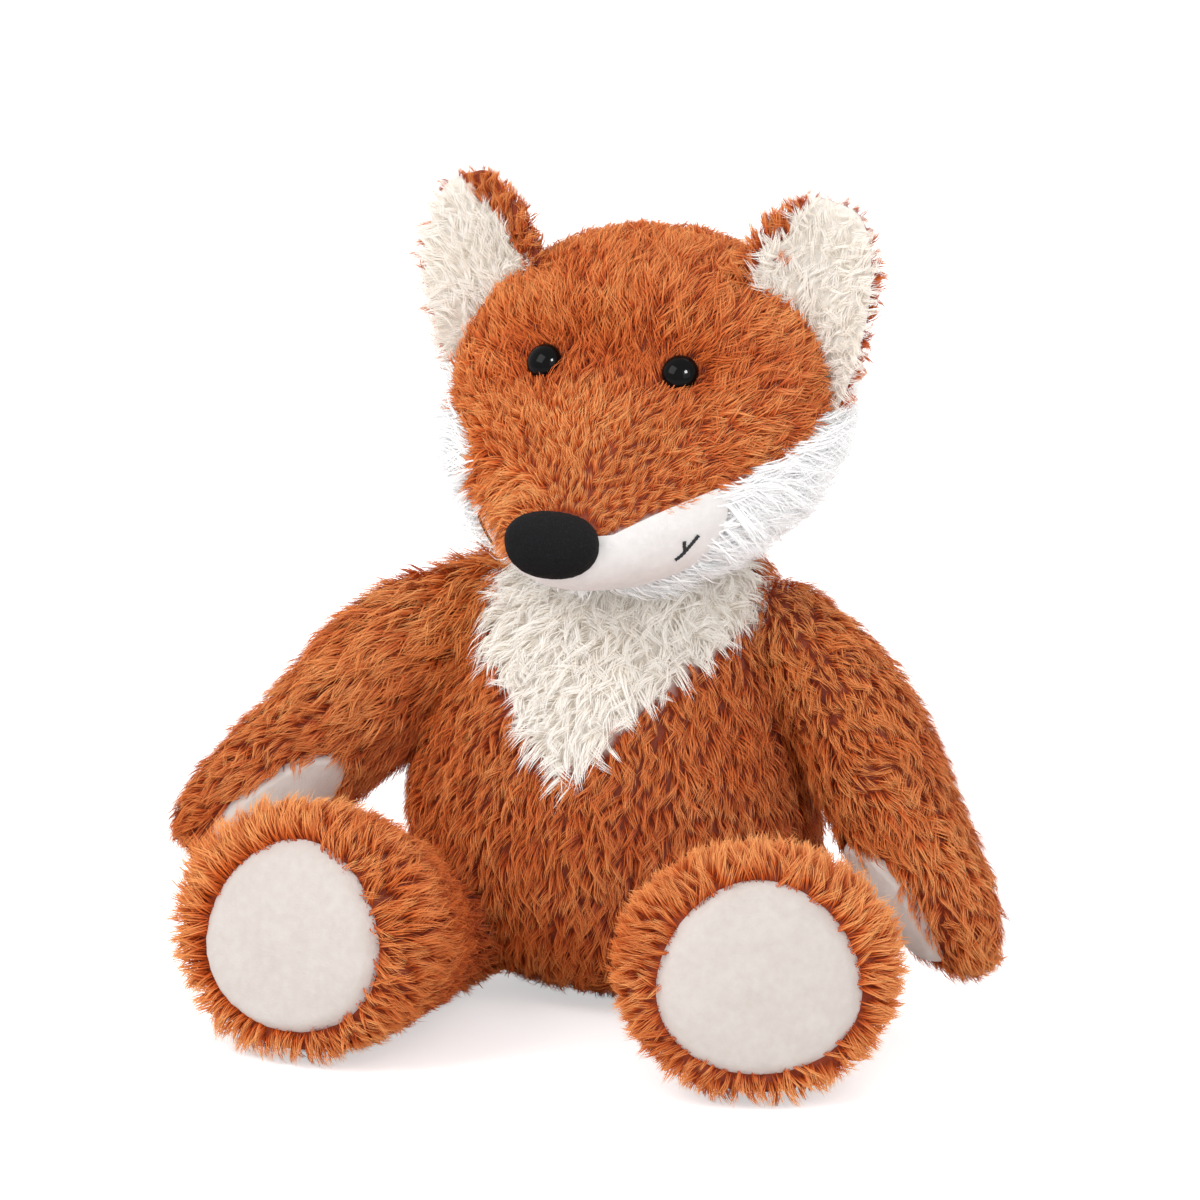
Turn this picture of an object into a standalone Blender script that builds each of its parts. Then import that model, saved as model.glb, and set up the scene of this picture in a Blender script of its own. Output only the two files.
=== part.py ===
"""Seated plush fox: sewn plush panels over stuffing, with floppy limbs.

Metres, +Z up. The fox sits on Z = 0 with its seat centred on the origin and looks along -Y.
Every panel is a solid as thick as its backing and pile together, so the outer faces follow the pile.
"""

import math

import bmesh
import bpy
from mathutils import Matrix, Vector

# Cloth
PLUSH = 0.0060  # long pile plush, backing and pile together
SHORT_PILE_DROP = 0.0022  # how far a short pile panel lies below the long pile round it
SEAM = 0.0003  # gap at a sewn seam
SWING_ROOM = 0.0015  # room round the root of an arm or the tail for it to swing in
HIP_ROOM = 0.0005  # room round the root of a leg
OVERRUN = 0.030  # how far a cutter runs past what it cuts

# Cages
OUTER_SIDES = 10  # points in one ring of an outer cage
INNER_SIDES = 6  # points in one ring of a cage for what lies inside
SMOOTHING = 1  # subdivision levels

# Torso
TORSO_WIDTH = 0.120
TORSO_DEPTH = 0.100
TORSO_HEIGHT = 0.130
TORSO_SWAY = -0.006  # how far the belly bulges to the fox's left
TORSO_SINK = 0.0005  # how much of the belly's underside is pressed flat
NECK_Z = 0.118  # the neck seam
NECK_Y = 0.018
NECK_WELL_RADIUS = 0.050  # room under the head for the neck to turn in
POUCH_HEIGHT = 0.034  # top of the weighting pouch inside the belly
BIB_TOP_WIDTH = 0.084
BIB_TIP_Z = 0.064
BIB_SHOULDER_Z = 0.106
SIDE_SEAM_Y = 0.014

# Head
HEAD_LENGTH = 0.122
HEAD_WIDTH = 0.113
HEAD_HEIGHT = 0.095
HEAD_BASE_DROP = 0.006  # the chin hangs this far below the neck seam
HEAD_BACK_Y = 0.050  # back of the head behind the neck's axis
HEAD_TURN_DEG = -3.0
HEAD_TILT_DEG = -1.0
NOSE_WIDTH = 0.026
NOSE_HEIGHT = 0.018
NOSE_DEPTH = 0.010
NOSE_DROP_Z = 0.012  # nose centre above the chin line
NOSE_PROUD = 0.0015
MUZZLE_FRONT_RISE = 0.022  # muzzle seam above the chin line, beside the nose
MUZZLE_BACK_RISE = 0.031  # and where it meets the cheeks
MOUTH_THREAD_RADIUS = 0.0005
MUZZLE_LENGTH = 0.034  # nose tip to where the muzzle meets the cheeks
CHEEK_BACK_Y = 0.020  # where the cheeks meet the back of the head
CHEEK_TOP_RISE = 0.060  # top of a cheek above the chin line
EYE_RADIUS = 0.0050
EYE_SPACING = 0.041
EYE_RISE = 0.062  # eye centre above the chin line
EYE_PROUD = 0.0015  # how far an eye stands out of the pile
EYE_POST_RADIUS = 0.0020
EYE_POST_LENGTH = 0.0090
WASHER_RADIUS = 0.0065
WASHER_THICKNESS = 0.0015
WASHER_STANDOFF = 0.0008

# Ears
EAR_LENGTH = 0.061
EAR_WIDTH = 0.044
EAR_PANEL = 0.0050
EAR_CUP = 0.010
EAR_BASE_X = 0.041
EAR_BASE_Y = 0.004
EAR_BASE_RISE = 0.067  # middle of the ear's base above the chin line
EAR_SPREAD_DEG = 20.0
EAR_TOE_DEG = -8.0

# Arms
ARM_LENGTH = 0.112  # shoulder pivot to paw tip
ARM_ROOT_RADIUS = 0.0170
ARM_WIDTH = 0.045
ARM_DEPTH = 0.041
SHOULDER_X = 0.041
SHOULDER_Y = 0.012
SHOULDER_Z = 0.098
PALM_LENGTH = 0.040
PALM_WIDTH = 0.019
PALM_REACH = 0.080  # palm centre from the shoulder pivot
ARM_HEADING_DEG = {"left": 24.0, "right": 34.0}  # forward of straight sideways
ARM_DROP_DEG = {"left": 48.0, "right": 35.0}  # below level
ARM_LOWERING_DEG = {"left": 0.0, "right": 10.0}  # how far each arm drops before it meets the torso
PALM_ROLL_DEG = {"left": -25.0, "right": -15.0}  # palm turned down from straight ahead

# Legs
LEG_LENGTH = 0.090  # hip pivot to sole
LEG_ROOT_RADIUS = 0.022
LEG_ROOT_WIDTH = 0.044
FOOT_WIDTH = 0.080
FOOT_HEIGHT = 0.070
HIP_X = 0.040
HIP_Y = -0.024
SOLE_WIDTH = 0.054
SOLE_HEIGHT = 0.050
SOLE_LEAN_SHARE = 0.16  # backward slope of the sole
LEG_SPLAY_DEG = {"left": 23.0, "right": 12.0}
LEG_SWING_DEG = (-85.0, 10.0)  # down and up from level

# Tail
TAIL_LENGTH = 0.106
TAIL_WIDTH = 0.040
TAIL_ROOT_RADIUS = 0.013
TAIL_Y = 0.040
TAIL_TIP_LENGTH = 0.036
TAIL_HEADING_DEG = 20.0  # to the fox's right of straight back
TAIL_SWING_DEG = (-50.0, 10.0)  # to the fox's left and right of its heading

# Sections of each form. Rows run from one end to the other.
# Torso: height share, half width share, front share, back share of half the depth, middle's Y share of the depth
TORSO_SHARES = (
    (0.005, 0.62, 0.64, 0.64, 0.00),
    (0.09, 0.92, 0.93, 0.91, 0.00),
    (0.27, 1.00, 1.00, 0.98, 0.01),
    (0.45, 0.99, 0.97, 0.96, 0.03),
    (0.62, 0.90, 0.84, 0.90, 0.06),
    (0.77, 0.80, 0.68, 0.78, 0.11),
    (0.88, 0.68, 0.54, 0.62, 0.15),
    (0.96, 0.45, 0.38, 0.42, 0.18),
)
# Head: length share from the back, half width share, top share and bottom share of the height
HEAD_SHARES = (
    (0.05, 0.46, 0.76, 0.26),
    (0.17, 0.80, 0.93, 0.10),
    (0.34, 1.00, 1.00, 0.03),
    (0.51, 1.00, 0.94, 0.01),
    (0.64, 0.85, 0.71, 0.00),
    (0.77, 0.61, 0.47, 0.00),
    (0.89, 0.40, 0.345, 0.035),
    (0.965, 0.285, 0.285, 0.075),
)
HEAD_END_SHARES = (0.50, 0.18)  # height of the two ends
# Arm: reach share, half width share, half depth share through the palm, outward bow's share of the length
ARM_SHARES = (
    (0.20, 0.94, 0.94, 0.045),
    (0.40, 1.00, 1.00, 0.025),
    (0.62, 0.98, 0.94, -0.010),
    (0.84, 0.88, 0.80, -0.010),
    (0.95, 0.65, 0.56, -0.005),
)
# Leg: reach share, half width share, half height share, lean share
LEG_SHARES = (
    (0.13, 0.51, 0.58, 0.0),
    (0.27, 0.54, 0.59, 0.0),
    (0.42, 0.73, 0.78, 0.2),
    (0.62, 0.93, 0.92, 0.5),
    (0.82, 1.00, 1.00, 0.9),
    (0.92, 0.98, 0.98, 1.0),
    (0.985, 0.78, 0.78, 1.0),
)
# Tail: reach share, half width share
TAIL_SHARES = ((0.20, 0.65), (0.45, 0.95), (0.66, 1.00), (0.84, 0.78), (0.95, 0.42))
# Ear: height share, half width share
EAR_SHARES = ((0.0, 0.96), (0.30, 1.02), (0.60, 0.96), (0.86, 0.70), (1.0, 0.34))
EAR_ACROSS_SHARES = (-1.0, -0.4, 0.4, 1.0)
EAR_WRAP_SHARE = 0.24  # how much of the ear's half width the back laps over the front, at the inner edge
# Mouth thread: share of the muzzle's length behind the nose tip, rise share from the chin to the muzzle seam
MOUTH_SHARES = ((0.74, 0.37), (0.77, 0.42), (0.80, 0.49), (0.825, 0.55), (0.85, 0.61))
# Bib: half width share of the top width, height share from tip to shoulder
BIB_SHARES = ((0.12, 0.08), (0.34, 0.34), (0.68, 0.70), (1.0, 1.0))
SOLE_EGG_SHARE = 0.12  # how much narrower the sole is at its top
PALM_EGG_SHARE = 0.20
OVAL_POINTS = 20
TURNED_STEPS = 14
DOME_STEPS = 4
ROOT_RINGS = ((-0.87, 0.50, 0.72), (-0.50, 0.87, 0.94), (0.0, 1.0, 1.0))  # along, half height, half width
ROOT_CUT_SHARE = 0.55  # depth of a limb's sewn end behind its pivot, of the root radius
POCKET_STEPS = 8  # straight faces round the back of a limb's pocket
EAR_SINK_SHARE = 0.34  # how much of an ear runs into the head before it is trimmed

COLOURS = {
    "orange_plush": ((0.56, 0.17, 0.045), 0.90, 0.0),
    "white_plush": ((0.86, 0.85, 0.84), 0.90, 0.0),
    "cream_plush": ((0.80, 0.75, 0.66), 0.90, 0.0),
    "white_velboa": ((0.84, 0.81, 0.79), 0.80, 0.0),
    "cream_velboa": ((0.78, 0.72, 0.67), 0.80, 0.0),
    "black_thread": ((0.010, 0.010, 0.013), 0.75, 0.0),
    "eye_plastic": ((0.006, 0.006, 0.006), 0.12, 0.0),
    "washer_plastic": ((0.75, 0.75, 0.73), 0.45, 0.0),
    "fibre_stuffing": ((0.88, 0.88, 0.86), 0.95, 0.0),
    "pouch_cloth": ((0.62, 0.60, 0.55), 0.90, 0.0),
}


def clear_scene():
    for obj in list(bpy.data.objects):
        bpy.data.objects.remove(obj, do_unlink=True)


def new_collection(name):
    found = bpy.data.collections.new(name)
    bpy.context.scene.collection.children.link(found)
    return found


def material(name):
    found = bpy.data.materials.get(name)
    if found:
        return found
    colour, roughness, metallic = COLOURS[name]
    found = bpy.data.materials.new(name)
    found.use_nodes = True
    shader = found.node_tree.nodes["Principled BSDF"]
    shader.inputs["Base Color"].default_value = (*colour, 1.0)
    shader.inputs["Roughness"].default_value = roughness
    shader.inputs["Metallic"].default_value = metallic
    found.diffuse_color = (*colour, 1.0)
    return found


def pivot(name, place, turn=None):
    """An empty on a joint's axis. Everything that moves with the joint is its child."""
    empty = bpy.data.objects.new(name, None)
    parts.objects.link(empty)
    empty.matrix_world = Matrix.Translation(place) @ (turn or Matrix.Identity(3)).to_4x4()
    return empty


def mesh_object(name, mesh, home, parent=None):
    obj = bpy.data.objects.new(name, mesh)
    home.objects.link(obj)
    obj.parent = parent
    if home is cutters:
        obj.hide_render = True
        obj.display_type = "WIRE"
    return obj


def dressed(obj, finish):
    obj.data.materials.append(material(finish))
    obj.data.shade_smooth()
    return obj


def subdivide(obj):
    smooth = obj.modifiers.new("smooth", "SUBSURF")
    smooth.levels = SMOOTHING
    smooth.render_levels = SMOOTHING


def boolean(obj, other, operation):
    change = obj.modifiers.new(f"{operation.lower()} {other.name}", "BOOLEAN")
    change.operation = operation
    change.object = other
    change.solver = "EXACT"


def cut(obj, *others):
    for other in others:
        boolean(obj, other, "DIFFERENCE")


def keep(obj, *others):
    for other in others:
        boolean(obj, other, "INTERSECT")


class Form:
    """A stuffed shape: rings along a spine, closed by a point at each end.

    Each ring is (centre, half width, half height above, half height below, up). Ends are points.
    """

    def __init__(self, side, up, spine):
        self.side = Vector(side)
        self.up = Vector(up)
        self.spine = Vector(spine)
        self.rings = []
        self.ends = []

    def ring(self, centre, half_side, above, below=None, lean=0.0):
        tilt = self.up + lean * self.spine
        self.rings.append((Vector(centre), half_side, above, above if below is None else below, tilt))

    def close(self, start, end):
        self.ends = [Vector(start), Vector(end)]

    def solid(self, name, home, parent=None, inset=0.0):
        """The form as a smooth closed solid, inset all over for what lies inside a skin."""
        sides = INNER_SIDES if inset > SHORT_PILE_DROP else OUTER_SIDES
        # A smoothed ring shrinks by this share, so its cage is drawn that much wider.
        shrink = 2 / 3 + math.cos(2 * math.pi / sides) / 3
        along = [end.dot(self.spine) for end in self.ends]
        middle = sum(along) / 2
        length = along[1] - along[0]
        squeeze = (abs(length) - 2 * inset) / abs(length)

        def drawn_in(point):
            return point + self.spine * (point.dot(self.spine) - middle) * (squeeze - 1)

        mesh = bmesh.new()
        loops = []
        for centre, half_side, above, below, tilt in self.rings:
            loop = []
            for step in range(sides):
                angle = 2 * math.pi * step / sides
                half_up = above if math.sin(angle) > 0 else below
                across = self.side * math.cos(angle) * (half_side - inset)
                upward = tilt * math.sin(angle) * (half_up - inset)
                loop.append(mesh.verts.new(drawn_in(centre) + (across + upward) / shrink))
            loops.append(loop)
        for near, far in zip(loops, loops[1:]):
            for step in range(sides):
                after = (step + 1) % sides
                mesh.faces.new((near[step], near[after], far[after], far[step]))
        for end, loop in zip(self.ends, (loops[0], loops[-1])):
            tip = mesh.verts.new(drawn_in(end))
            for step in range(sides):
                mesh.faces.new((tip, loop[step], loop[(step + 1) % sides]))
        bmesh.ops.recalc_face_normals(mesh, faces=mesh.faces)
        data = bpy.data.meshes.new(name)
        mesh.to_mesh(data)
        mesh.free()
        data.shade_smooth()
        obj = mesh_object(name, data, home, parent)
        subdivide(obj)
        return obj


def box(name, low, high, parent=None):
    """A cutter with corners at low and high."""
    mesh = bmesh.new()
    bmesh.ops.create_cube(mesh, size=1.0)
    size = Vector(high) - Vector(low)
    bmesh.ops.scale(mesh, vec=size, verts=mesh.verts)
    bmesh.ops.translate(mesh, vec=(Vector(low) + Vector(high)) / 2, verts=mesh.verts)
    data = bpy.data.meshes.new(name)
    mesh.to_mesh(data)
    mesh.free()
    return mesh_object(name, data, cutters, parent)


def cylinder(name, radius, low_z, high_z, place):
    mesh = bmesh.new()
    bmesh.ops.create_cone(
        mesh, cap_ends=True, segments=2 * TURNED_STEPS, radius1=radius, radius2=radius, depth=high_z - low_z
    )
    middle = Vector((place[0], place[1], (low_z + high_z) / 2))
    bmesh.ops.translate(mesh, vec=middle, verts=mesh.verts)
    data = bpy.data.meshes.new(name)
    mesh.to_mesh(data)
    mesh.free()
    return mesh_object(name, data, cutters)


def outline_block(name, outline, low, high, turn, parent=None):
    """A cutter: a flat outline drawn out from low to high along the turned Z axis."""
    curve = bpy.data.curves.new(name, "CURVE")
    curve.dimensions = "2D"
    curve.fill_mode = "BOTH"
    curve.extrude = (high - low) / 2
    line = curve.splines.new("POLY")
    line.points.add(len(outline) - 1)
    for point, (across, up) in zip(line.points, outline):
        point.co = (across, up, 0.0, 1.0)
    line.use_cyclic_u = True
    flat = bpy.data.objects.new(name, curve)
    bpy.context.scene.collection.objects.link(flat)
    graph = bpy.context.evaluated_depsgraph_get()
    data = bpy.data.meshes.new_from_object(flat.evaluated_get(graph))
    bpy.data.objects.remove(flat)
    mesh = bmesh.new()
    mesh.from_mesh(data)
    bmesh.ops.remove_doubles(mesh, verts=mesh.verts, dist=SEAM / 10)
    bmesh.ops.translate(mesh, vec=(0.0, 0.0, (low + high) / 2), verts=mesh.verts)
    bmesh.ops.transform(mesh, matrix=turn.to_4x4(), verts=mesh.verts)
    bmesh.ops.recalc_face_normals(mesh, faces=mesh.faces)
    mesh.to_mesh(data)
    mesh.free()
    return mesh_object(name, data, cutters, parent)


def axes(across, up, out):
    """The turn that takes X, Y and Z to these directions."""
    return Matrix((across, up, out)).transposed()


SIDE_VIEW = axes((0, 1, 0), (0, 0, 1), (1, 0, 0))  # outline in Y and Z, drawn out along X
FRONT_VIEW = axes((1, 0, 0), (0, 0, 1), (0, -1, 0))  # outline in X and Z, drawn out along -Y
LIMB_END_VIEW = axes((0, 1, 0), (0, 0, 1), (1, 0, 0))  # outline across a limb, drawn out along it
RAISING_VIEW = axes((1, 0, 0), (0, 0, 1), (0, -1, 0))  # outline in a limb's upright plane, drawn out across it
LEVEL_VIEW = axes((1, 0, 0), (0, 1, 0), (0, 0, 1))  # outline in a limb's level plane, drawn out upwards


def oval(width, height, egg=0.0, grow=0.0, centre=(0.0, 0.0)):
    """Points of an oval that is narrower at its top by the share egg."""
    points = []
    for step in range(OVAL_POINTS):
        angle = 2 * math.pi * step / OVAL_POINTS
        half = (width / 2 + grow) * (1 - egg * math.sin(angle))
        points.append(
            (centre[0] + half * math.cos(angle), centre[1] + (height / 2 + grow) * math.sin(angle))
        )
    return points


def turned(name, profile, home, parent=None, hole=False):
    """A solid turned about Z. The profile runs down its outer side, and back up the hole if it has one."""
    data = bpy.data.meshes.new(name)
    edges = [(step, step + 1) for step in range(len(profile) - 1)]
    if hole:
        edges.append((len(profile) - 1, 0))
    data.from_pydata([(radius, 0.0, height) for radius, height in profile], edges, [])
    obj = mesh_object(name, data, home, parent)
    spin = obj.modifiers.new("turn", "SCREW")
    spin.steps = TURNED_STEPS
    spin.render_steps = TURNED_STEPS
    spin.use_merge_vertices = True
    spin.merge_threshold = SEAM / 30
    return obj


def limb_form(radius, half_width, length, rings, side=(0, 1, 0), up=(0, 0, 1)):
    """A limb along +X. Seen along the hinge, the local Y axis, its root is round about the pivot."""
    form = Form(side, up, (1, 0, 0))
    for along, above, wide in ROOT_RINGS:
        form.ring((along * radius, 0, 0), wide * half_width, above * radius)
    for centre, half_side, half_up, lean in rings:
        form.ring(centre, half_side, half_up, lean=lean)
    form.close((-radius, 0, 0), (length, 0, 0))
    return form


def pocket(name, radius, half_width, view, parent, swing=(0.0, 0.0), room=SWING_ROOM):
    """The cutter for a limb's root: round behind the hinge, and fanned ahead of it over the limb's swing."""
    low, high = (math.radians(angle) for angle in swing)
    reach = radius + room
    far = reach + OVERRUN
    quarter = math.pi / 2
    outline = []
    for angle, wall in ((low, low - quarter), (high, high + quarter)):
        outline.append(
            (
                reach * math.cos(wall) + far * math.cos(angle),
                reach * math.sin(wall) + far * math.sin(angle),
            )
        )
    start = high + quarter
    sweep = low + 3 * quarter - start
    for step in range(POCKET_STEPS + 1):
        angle = start + sweep * step / POCKET_STEPS
        outline.append((reach * math.cos(angle), reach * math.sin(angle)))
    wide = half_width + room
    return outline_block(name, outline, -wide, wide, view, parent)


def sewn_end(name, radius, parent):
    """The cutter that trims a limb flat where its open end is caught in the seam."""
    face = -ROOT_CUT_SHARE * radius
    wide = radius + OVERRUN
    return box(name, (face - wide, -wide, -wide), (face, wide, wide), parent)


def hollow(form, name, finish, parent, cavity, *more):
    """The plush skin of a form, open where the cutters reach its hollow."""
    skin = dressed(form.solid(name, parts, parent), finish)
    cut(skin, cavity, *more)
    return skin


def floor_block():
    wide = HEAD_WIDTH + TORSO_DEPTH + LEG_LENGTH + TAIL_LENGTH
    return box("floor_cut", (-wide, -wide, -OVERRUN), (wide, wide, 0.0))


# Torso


def sway(z):
    """How far to the side the torso's middle lies at a height: nothing at the seat and at the neck."""
    height = z / TORSO_HEIGHT
    return TORSO_SWAY * 4 * height * (1 - height)


def torso_form():
    form = Form((1, 0, 0), (0, -1, 0), (0, 0, 1))
    half_depth = TORSO_DEPTH / 2
    for height, width, front, back, middle in TORSO_SHARES:
        centre = (sway(height * TORSO_HEIGHT), middle * TORSO_DEPTH, height * TORSO_HEIGHT - TORSO_SINK)
        form.ring(centre, width * TORSO_WIDTH / 2, front * half_depth, back * half_depth)
    top = TORSO_SHARES[-1][4] * TORSO_DEPTH
    form.close((0, 0, -2 * TORSO_SINK), (0, top, TORSO_HEIGHT))
    return form


def bib_block(name, grow):
    """The chest patch's outline, drawn out through the front of the torso."""
    rise = BIB_SHOULDER_Z - BIB_TIP_Z
    half = BIB_TOP_WIDTH / 2
    sides = [(across * half + grow, BIB_TIP_Z + up * rise) for across, up in BIB_SHARES]
    right = [(sway(z) + across, z) for across, z in sides]
    left = [(sway(z) - across, z) for across, z in reversed(sides)]
    above = NECK_Z + OVERRUN
    top = sway(NECK_Z)
    tip = (sway(BIB_TIP_Z), BIB_TIP_Z - grow)
    outline = [tip, *right, (top + half + grow, above), (top - half - grow, above), *left]
    return outline_block(name, outline, -SIDE_SEAM_Y - grow, TORSO_DEPTH, FRONT_VIEW)


def make_torso(floor, pockets):
    form = torso_form()
    wide = TORSO_WIDTH + TORSO_DEPTH
    neck_cut = box("neck_cut", (-wide, -wide, NECK_Z), (wide, wide, NECK_Z + wide))
    cavity = form.solid("torso_cavity", cutters, inset=PLUSH)
    behind = box("behind_side_seam", (-wide, SIDE_SEAM_Y - SEAM / 2, -wide), (wide, wide, 2 * wide))
    before = box("before_side_seam", (-wide, -wide, -wide), (wide, SIDE_SEAM_Y + SEAM / 2, 2 * wide))
    bib_room = bib_block("bib_room", SEAM)
    openings = (neck_cut, floor, *pockets)
    front = dressed(form.solid("torso_front_panel", parts), "orange_plush")
    cut(front, cavity, behind, bib_room, *openings)
    back = dressed(form.solid("torso_back_panel", parts), "orange_plush")
    cut(back, cavity, before, *openings)
    bib = dressed(form.solid("chest_bib", parts), "cream_plush")
    cut(bib, cavity, behind, *openings)
    keep(bib, bib_block("bib_outline", 0.0))
    pouch_top = box("pouch_top", (-wide, -wide, POUCH_HEIGHT), (wide, wide, 2 * wide))
    pouch_room = box("pouch_room", (-wide, -wide, -wide), (wide, wide, POUCH_HEIGHT + SEAM))
    stuffing = dressed(form.solid("torso_stuffing", parts, inset=PLUSH + SEAM), "fibre_stuffing")
    cut(stuffing, pouch_room, neck_cut, *pockets)
    pouch = dressed(form.solid("weighting_pouch", parts, inset=PLUSH + SEAM), "pouch_cloth")
    cut(pouch, pouch_top, *pockets)


# Head


def head_form():
    """The head about the neck's pivot: -Y towards the nose, Z from the neck seam."""
    form = Form((1, 0, 0), (0, 0, 1), (0, -1, 0))
    base = -HEAD_BASE_DROP
    for along, width, top, bottom in HEAD_SHARES:
        middle = (top + bottom) / 2
        centre = (0.0, HEAD_BACK_Y - along * HEAD_LENGTH, base + middle * HEAD_HEIGHT)
        half_height = (top - bottom) / 2 * HEAD_HEIGHT
        form.ring(centre, width * HEAD_WIDTH / 2, half_height)
    back_rise, tip_rise = (share * HEAD_HEIGHT + base for share in HEAD_END_SHARES)
    form.close((0, HEAD_BACK_Y, back_rise), (0, HEAD_BACK_Y - HEAD_LENGTH, tip_rise))
    return form


def head_region(name, outline, head):
    wide = HEAD_WIDTH
    return outline_block(name, outline, -wide, wide, SIDE_VIEW, head)


def head_regions(head):
    """Cutters in the side view for the face, muzzle, cheeks and back, with half a seam off each edge."""
    base = -HEAD_BASE_DROP
    gap = SEAM / 2
    tip = HEAD_BACK_Y - HEAD_LENGTH
    front = tip - OVERRUN
    muzzle_back = tip + MUZZLE_LENGTH
    rear = HEAD_BACK_Y + OVERRUN
    low = base - OVERRUN
    high = base + HEAD_HEIGHT + OVERRUN
    front_seam = base + MUZZLE_FRONT_RISE
    back_seam = base + MUZZLE_BACK_RISE
    cheek_top = base + CHEEK_TOP_RISE
    muzzle = [
        (front, low),
        (muzzle_back - gap, low),
        (muzzle_back - gap, back_seam - gap),
        (-HEAD_LENGTH / 2, front_seam - gap),
        (front, front_seam - gap),
    ]
    cheek = [
        (muzzle_back + gap, low),
        (CHEEK_BACK_Y - gap, low),
        (CHEEK_BACK_Y - gap, cheek_top - gap),
        (muzzle_back + gap, back_seam - gap),
    ]
    face = [
        (front, front_seam + gap),
        (-HEAD_LENGTH / 2, front_seam + gap),
        (muzzle_back, back_seam + gap),
        (CHEEK_BACK_Y - gap, cheek_top + gap),
        (CHEEK_BACK_Y - gap, high),
        (front, high),
    ]
    back = [(CHEEK_BACK_Y + gap, low), (rear, low), (rear, high), (CHEEK_BACK_Y + gap, high)]
    return {
        "muzzle": head_region("muzzle_region", muzzle, head),
        "cheek": head_region("cheek_region", cheek, head),
        "face": head_region("face_region", face, head),
        "back": head_region("back_region", back, head),
    }


def eye_seats(head, outer):
    """The turn and place of each eye: on the pile, square to it."""
    graph = bpy.context.evaluated_depsgraph_get()
    shape = outer.evaluated_get(graph)
    seats = {}
    for side, sign in (("left", 1), ("right", -1)):
        start = Vector((sign * EYE_SPACING / 2, 0.0, EYE_RISE - HEAD_BASE_DROP))
        met, place, normal, _ = shape.ray_cast(start, Vector((0, -1, 0)))
        if not met:
            raise ValueError("the eyes lie off the face: lower EYE_RISE or EYE_SPACING")
        turn = normal.to_track_quat("Z", "Y").to_matrix()
        seats[side] = Matrix.Translation(place) @ turn.to_4x4()
    return seats


def make_eye(side, seat, head):
    """A glossy dome on a post, its washer, and the cutters that make room for both."""
    dome_height = EYE_RADIUS
    dome = []
    for step in range(DOME_STEPS + 1):
        angle = math.pi / 2 * step / DOME_STEPS
        dome.append((EYE_RADIUS * math.sin(angle), dome_height * math.cos(angle)))
    foot = EYE_PROUD - dome_height
    profile = [(radius, height + foot) for radius, height in dome]
    post_end = foot - EYE_POST_LENGTH
    profile += [(EYE_POST_RADIUS, foot), (EYE_POST_RADIUS, post_end), (0.0, post_end)]
    eye = dressed(turned(f"eye_{side}", profile, parts, head), "eye_plastic")
    eye.matrix_local = seat
    eye_room = EYE_RADIUS + SEAM
    post_room = EYE_POST_RADIUS + SEAM
    socket_profile = [
        (0.0, OVERRUN),
        (eye_room, OVERRUN),
        (eye_room, foot - SEAM),
        (post_room, foot - SEAM),
        (post_room, -OVERRUN),
        (0.0, -OVERRUN),
    ]
    socket = turned(f"eye_socket_{side}", socket_profile, cutters, head)
    socket.matrix_local = seat
    washer_top = -PLUSH - WASHER_STANDOFF
    washer_profile = [
        (post_room, washer_top),
        (WASHER_RADIUS, washer_top),
        (WASHER_RADIUS, washer_top - WASHER_THICKNESS),
        (post_room, washer_top - WASHER_THICKNESS),
    ]
    washer = dressed(turned(f"eye_washer_{side}", washer_profile, parts, head, hole=True), "washer_plastic")
    washer.matrix_local = seat
    well_profile = [
        (0.0, OVERRUN),
        (WASHER_RADIUS + SEAM, OVERRUN),
        (WASHER_RADIUS + SEAM, washer_top - WASHER_THICKNESS - SEAM),
        (post_room, washer_top - WASHER_THICKNESS - SEAM),
        (post_room, post_end - SEAM),
        (0.0, post_end - SEAM),
    ]
    well = turned(f"eye_well_{side}", well_profile, cutters, head)
    well.matrix_local = seat
    return socket, well


def mouth_thread(side, sign, muzzle_outer, head):
    """The stitched line of the mouth, laid on the muzzle's side."""
    graph = bpy.context.evaluated_depsgraph_get()
    shape = muzzle_outer.evaluated_get(graph)
    lift = MOUTH_THREAD_RADIUS + 2 * SEAM
    line = []
    for behind, rise in MOUTH_SHARES:
        below = Vector((0.0, HEAD_BACK_Y - HEAD_LENGTH + behind * MUZZLE_LENGTH, -HEAD_HEIGHT))
        chin = shape.ray_cast(below, Vector((0, 0, 1)))[1]
        start = chin + Vector((0, 0, rise * (MUZZLE_BACK_RISE - HEAD_BASE_DROP - chin.z)))
        _, place, normal, _ = shape.ray_cast(start, Vector((sign, 0, 0)))
        line.append(place + normal * lift)
    name = f"mouth_thread_{side}"
    curve = bpy.data.curves.new(name, "CURVE")
    curve.dimensions = "3D"
    curve.bevel_depth = MOUTH_THREAD_RADIUS
    curve.bevel_resolution = 1
    curve.use_fill_caps = True
    thread = curve.splines.new("POLY")
    thread.points.add(len(line) - 1)
    for point, place in zip(thread.points, line):
        point.co = (*place, 1.0)
    obj = bpy.data.objects.new(name, curve)
    parts.objects.link(obj)
    obj.parent = head
    obj.data.materials.append(material("black_thread"))


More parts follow.
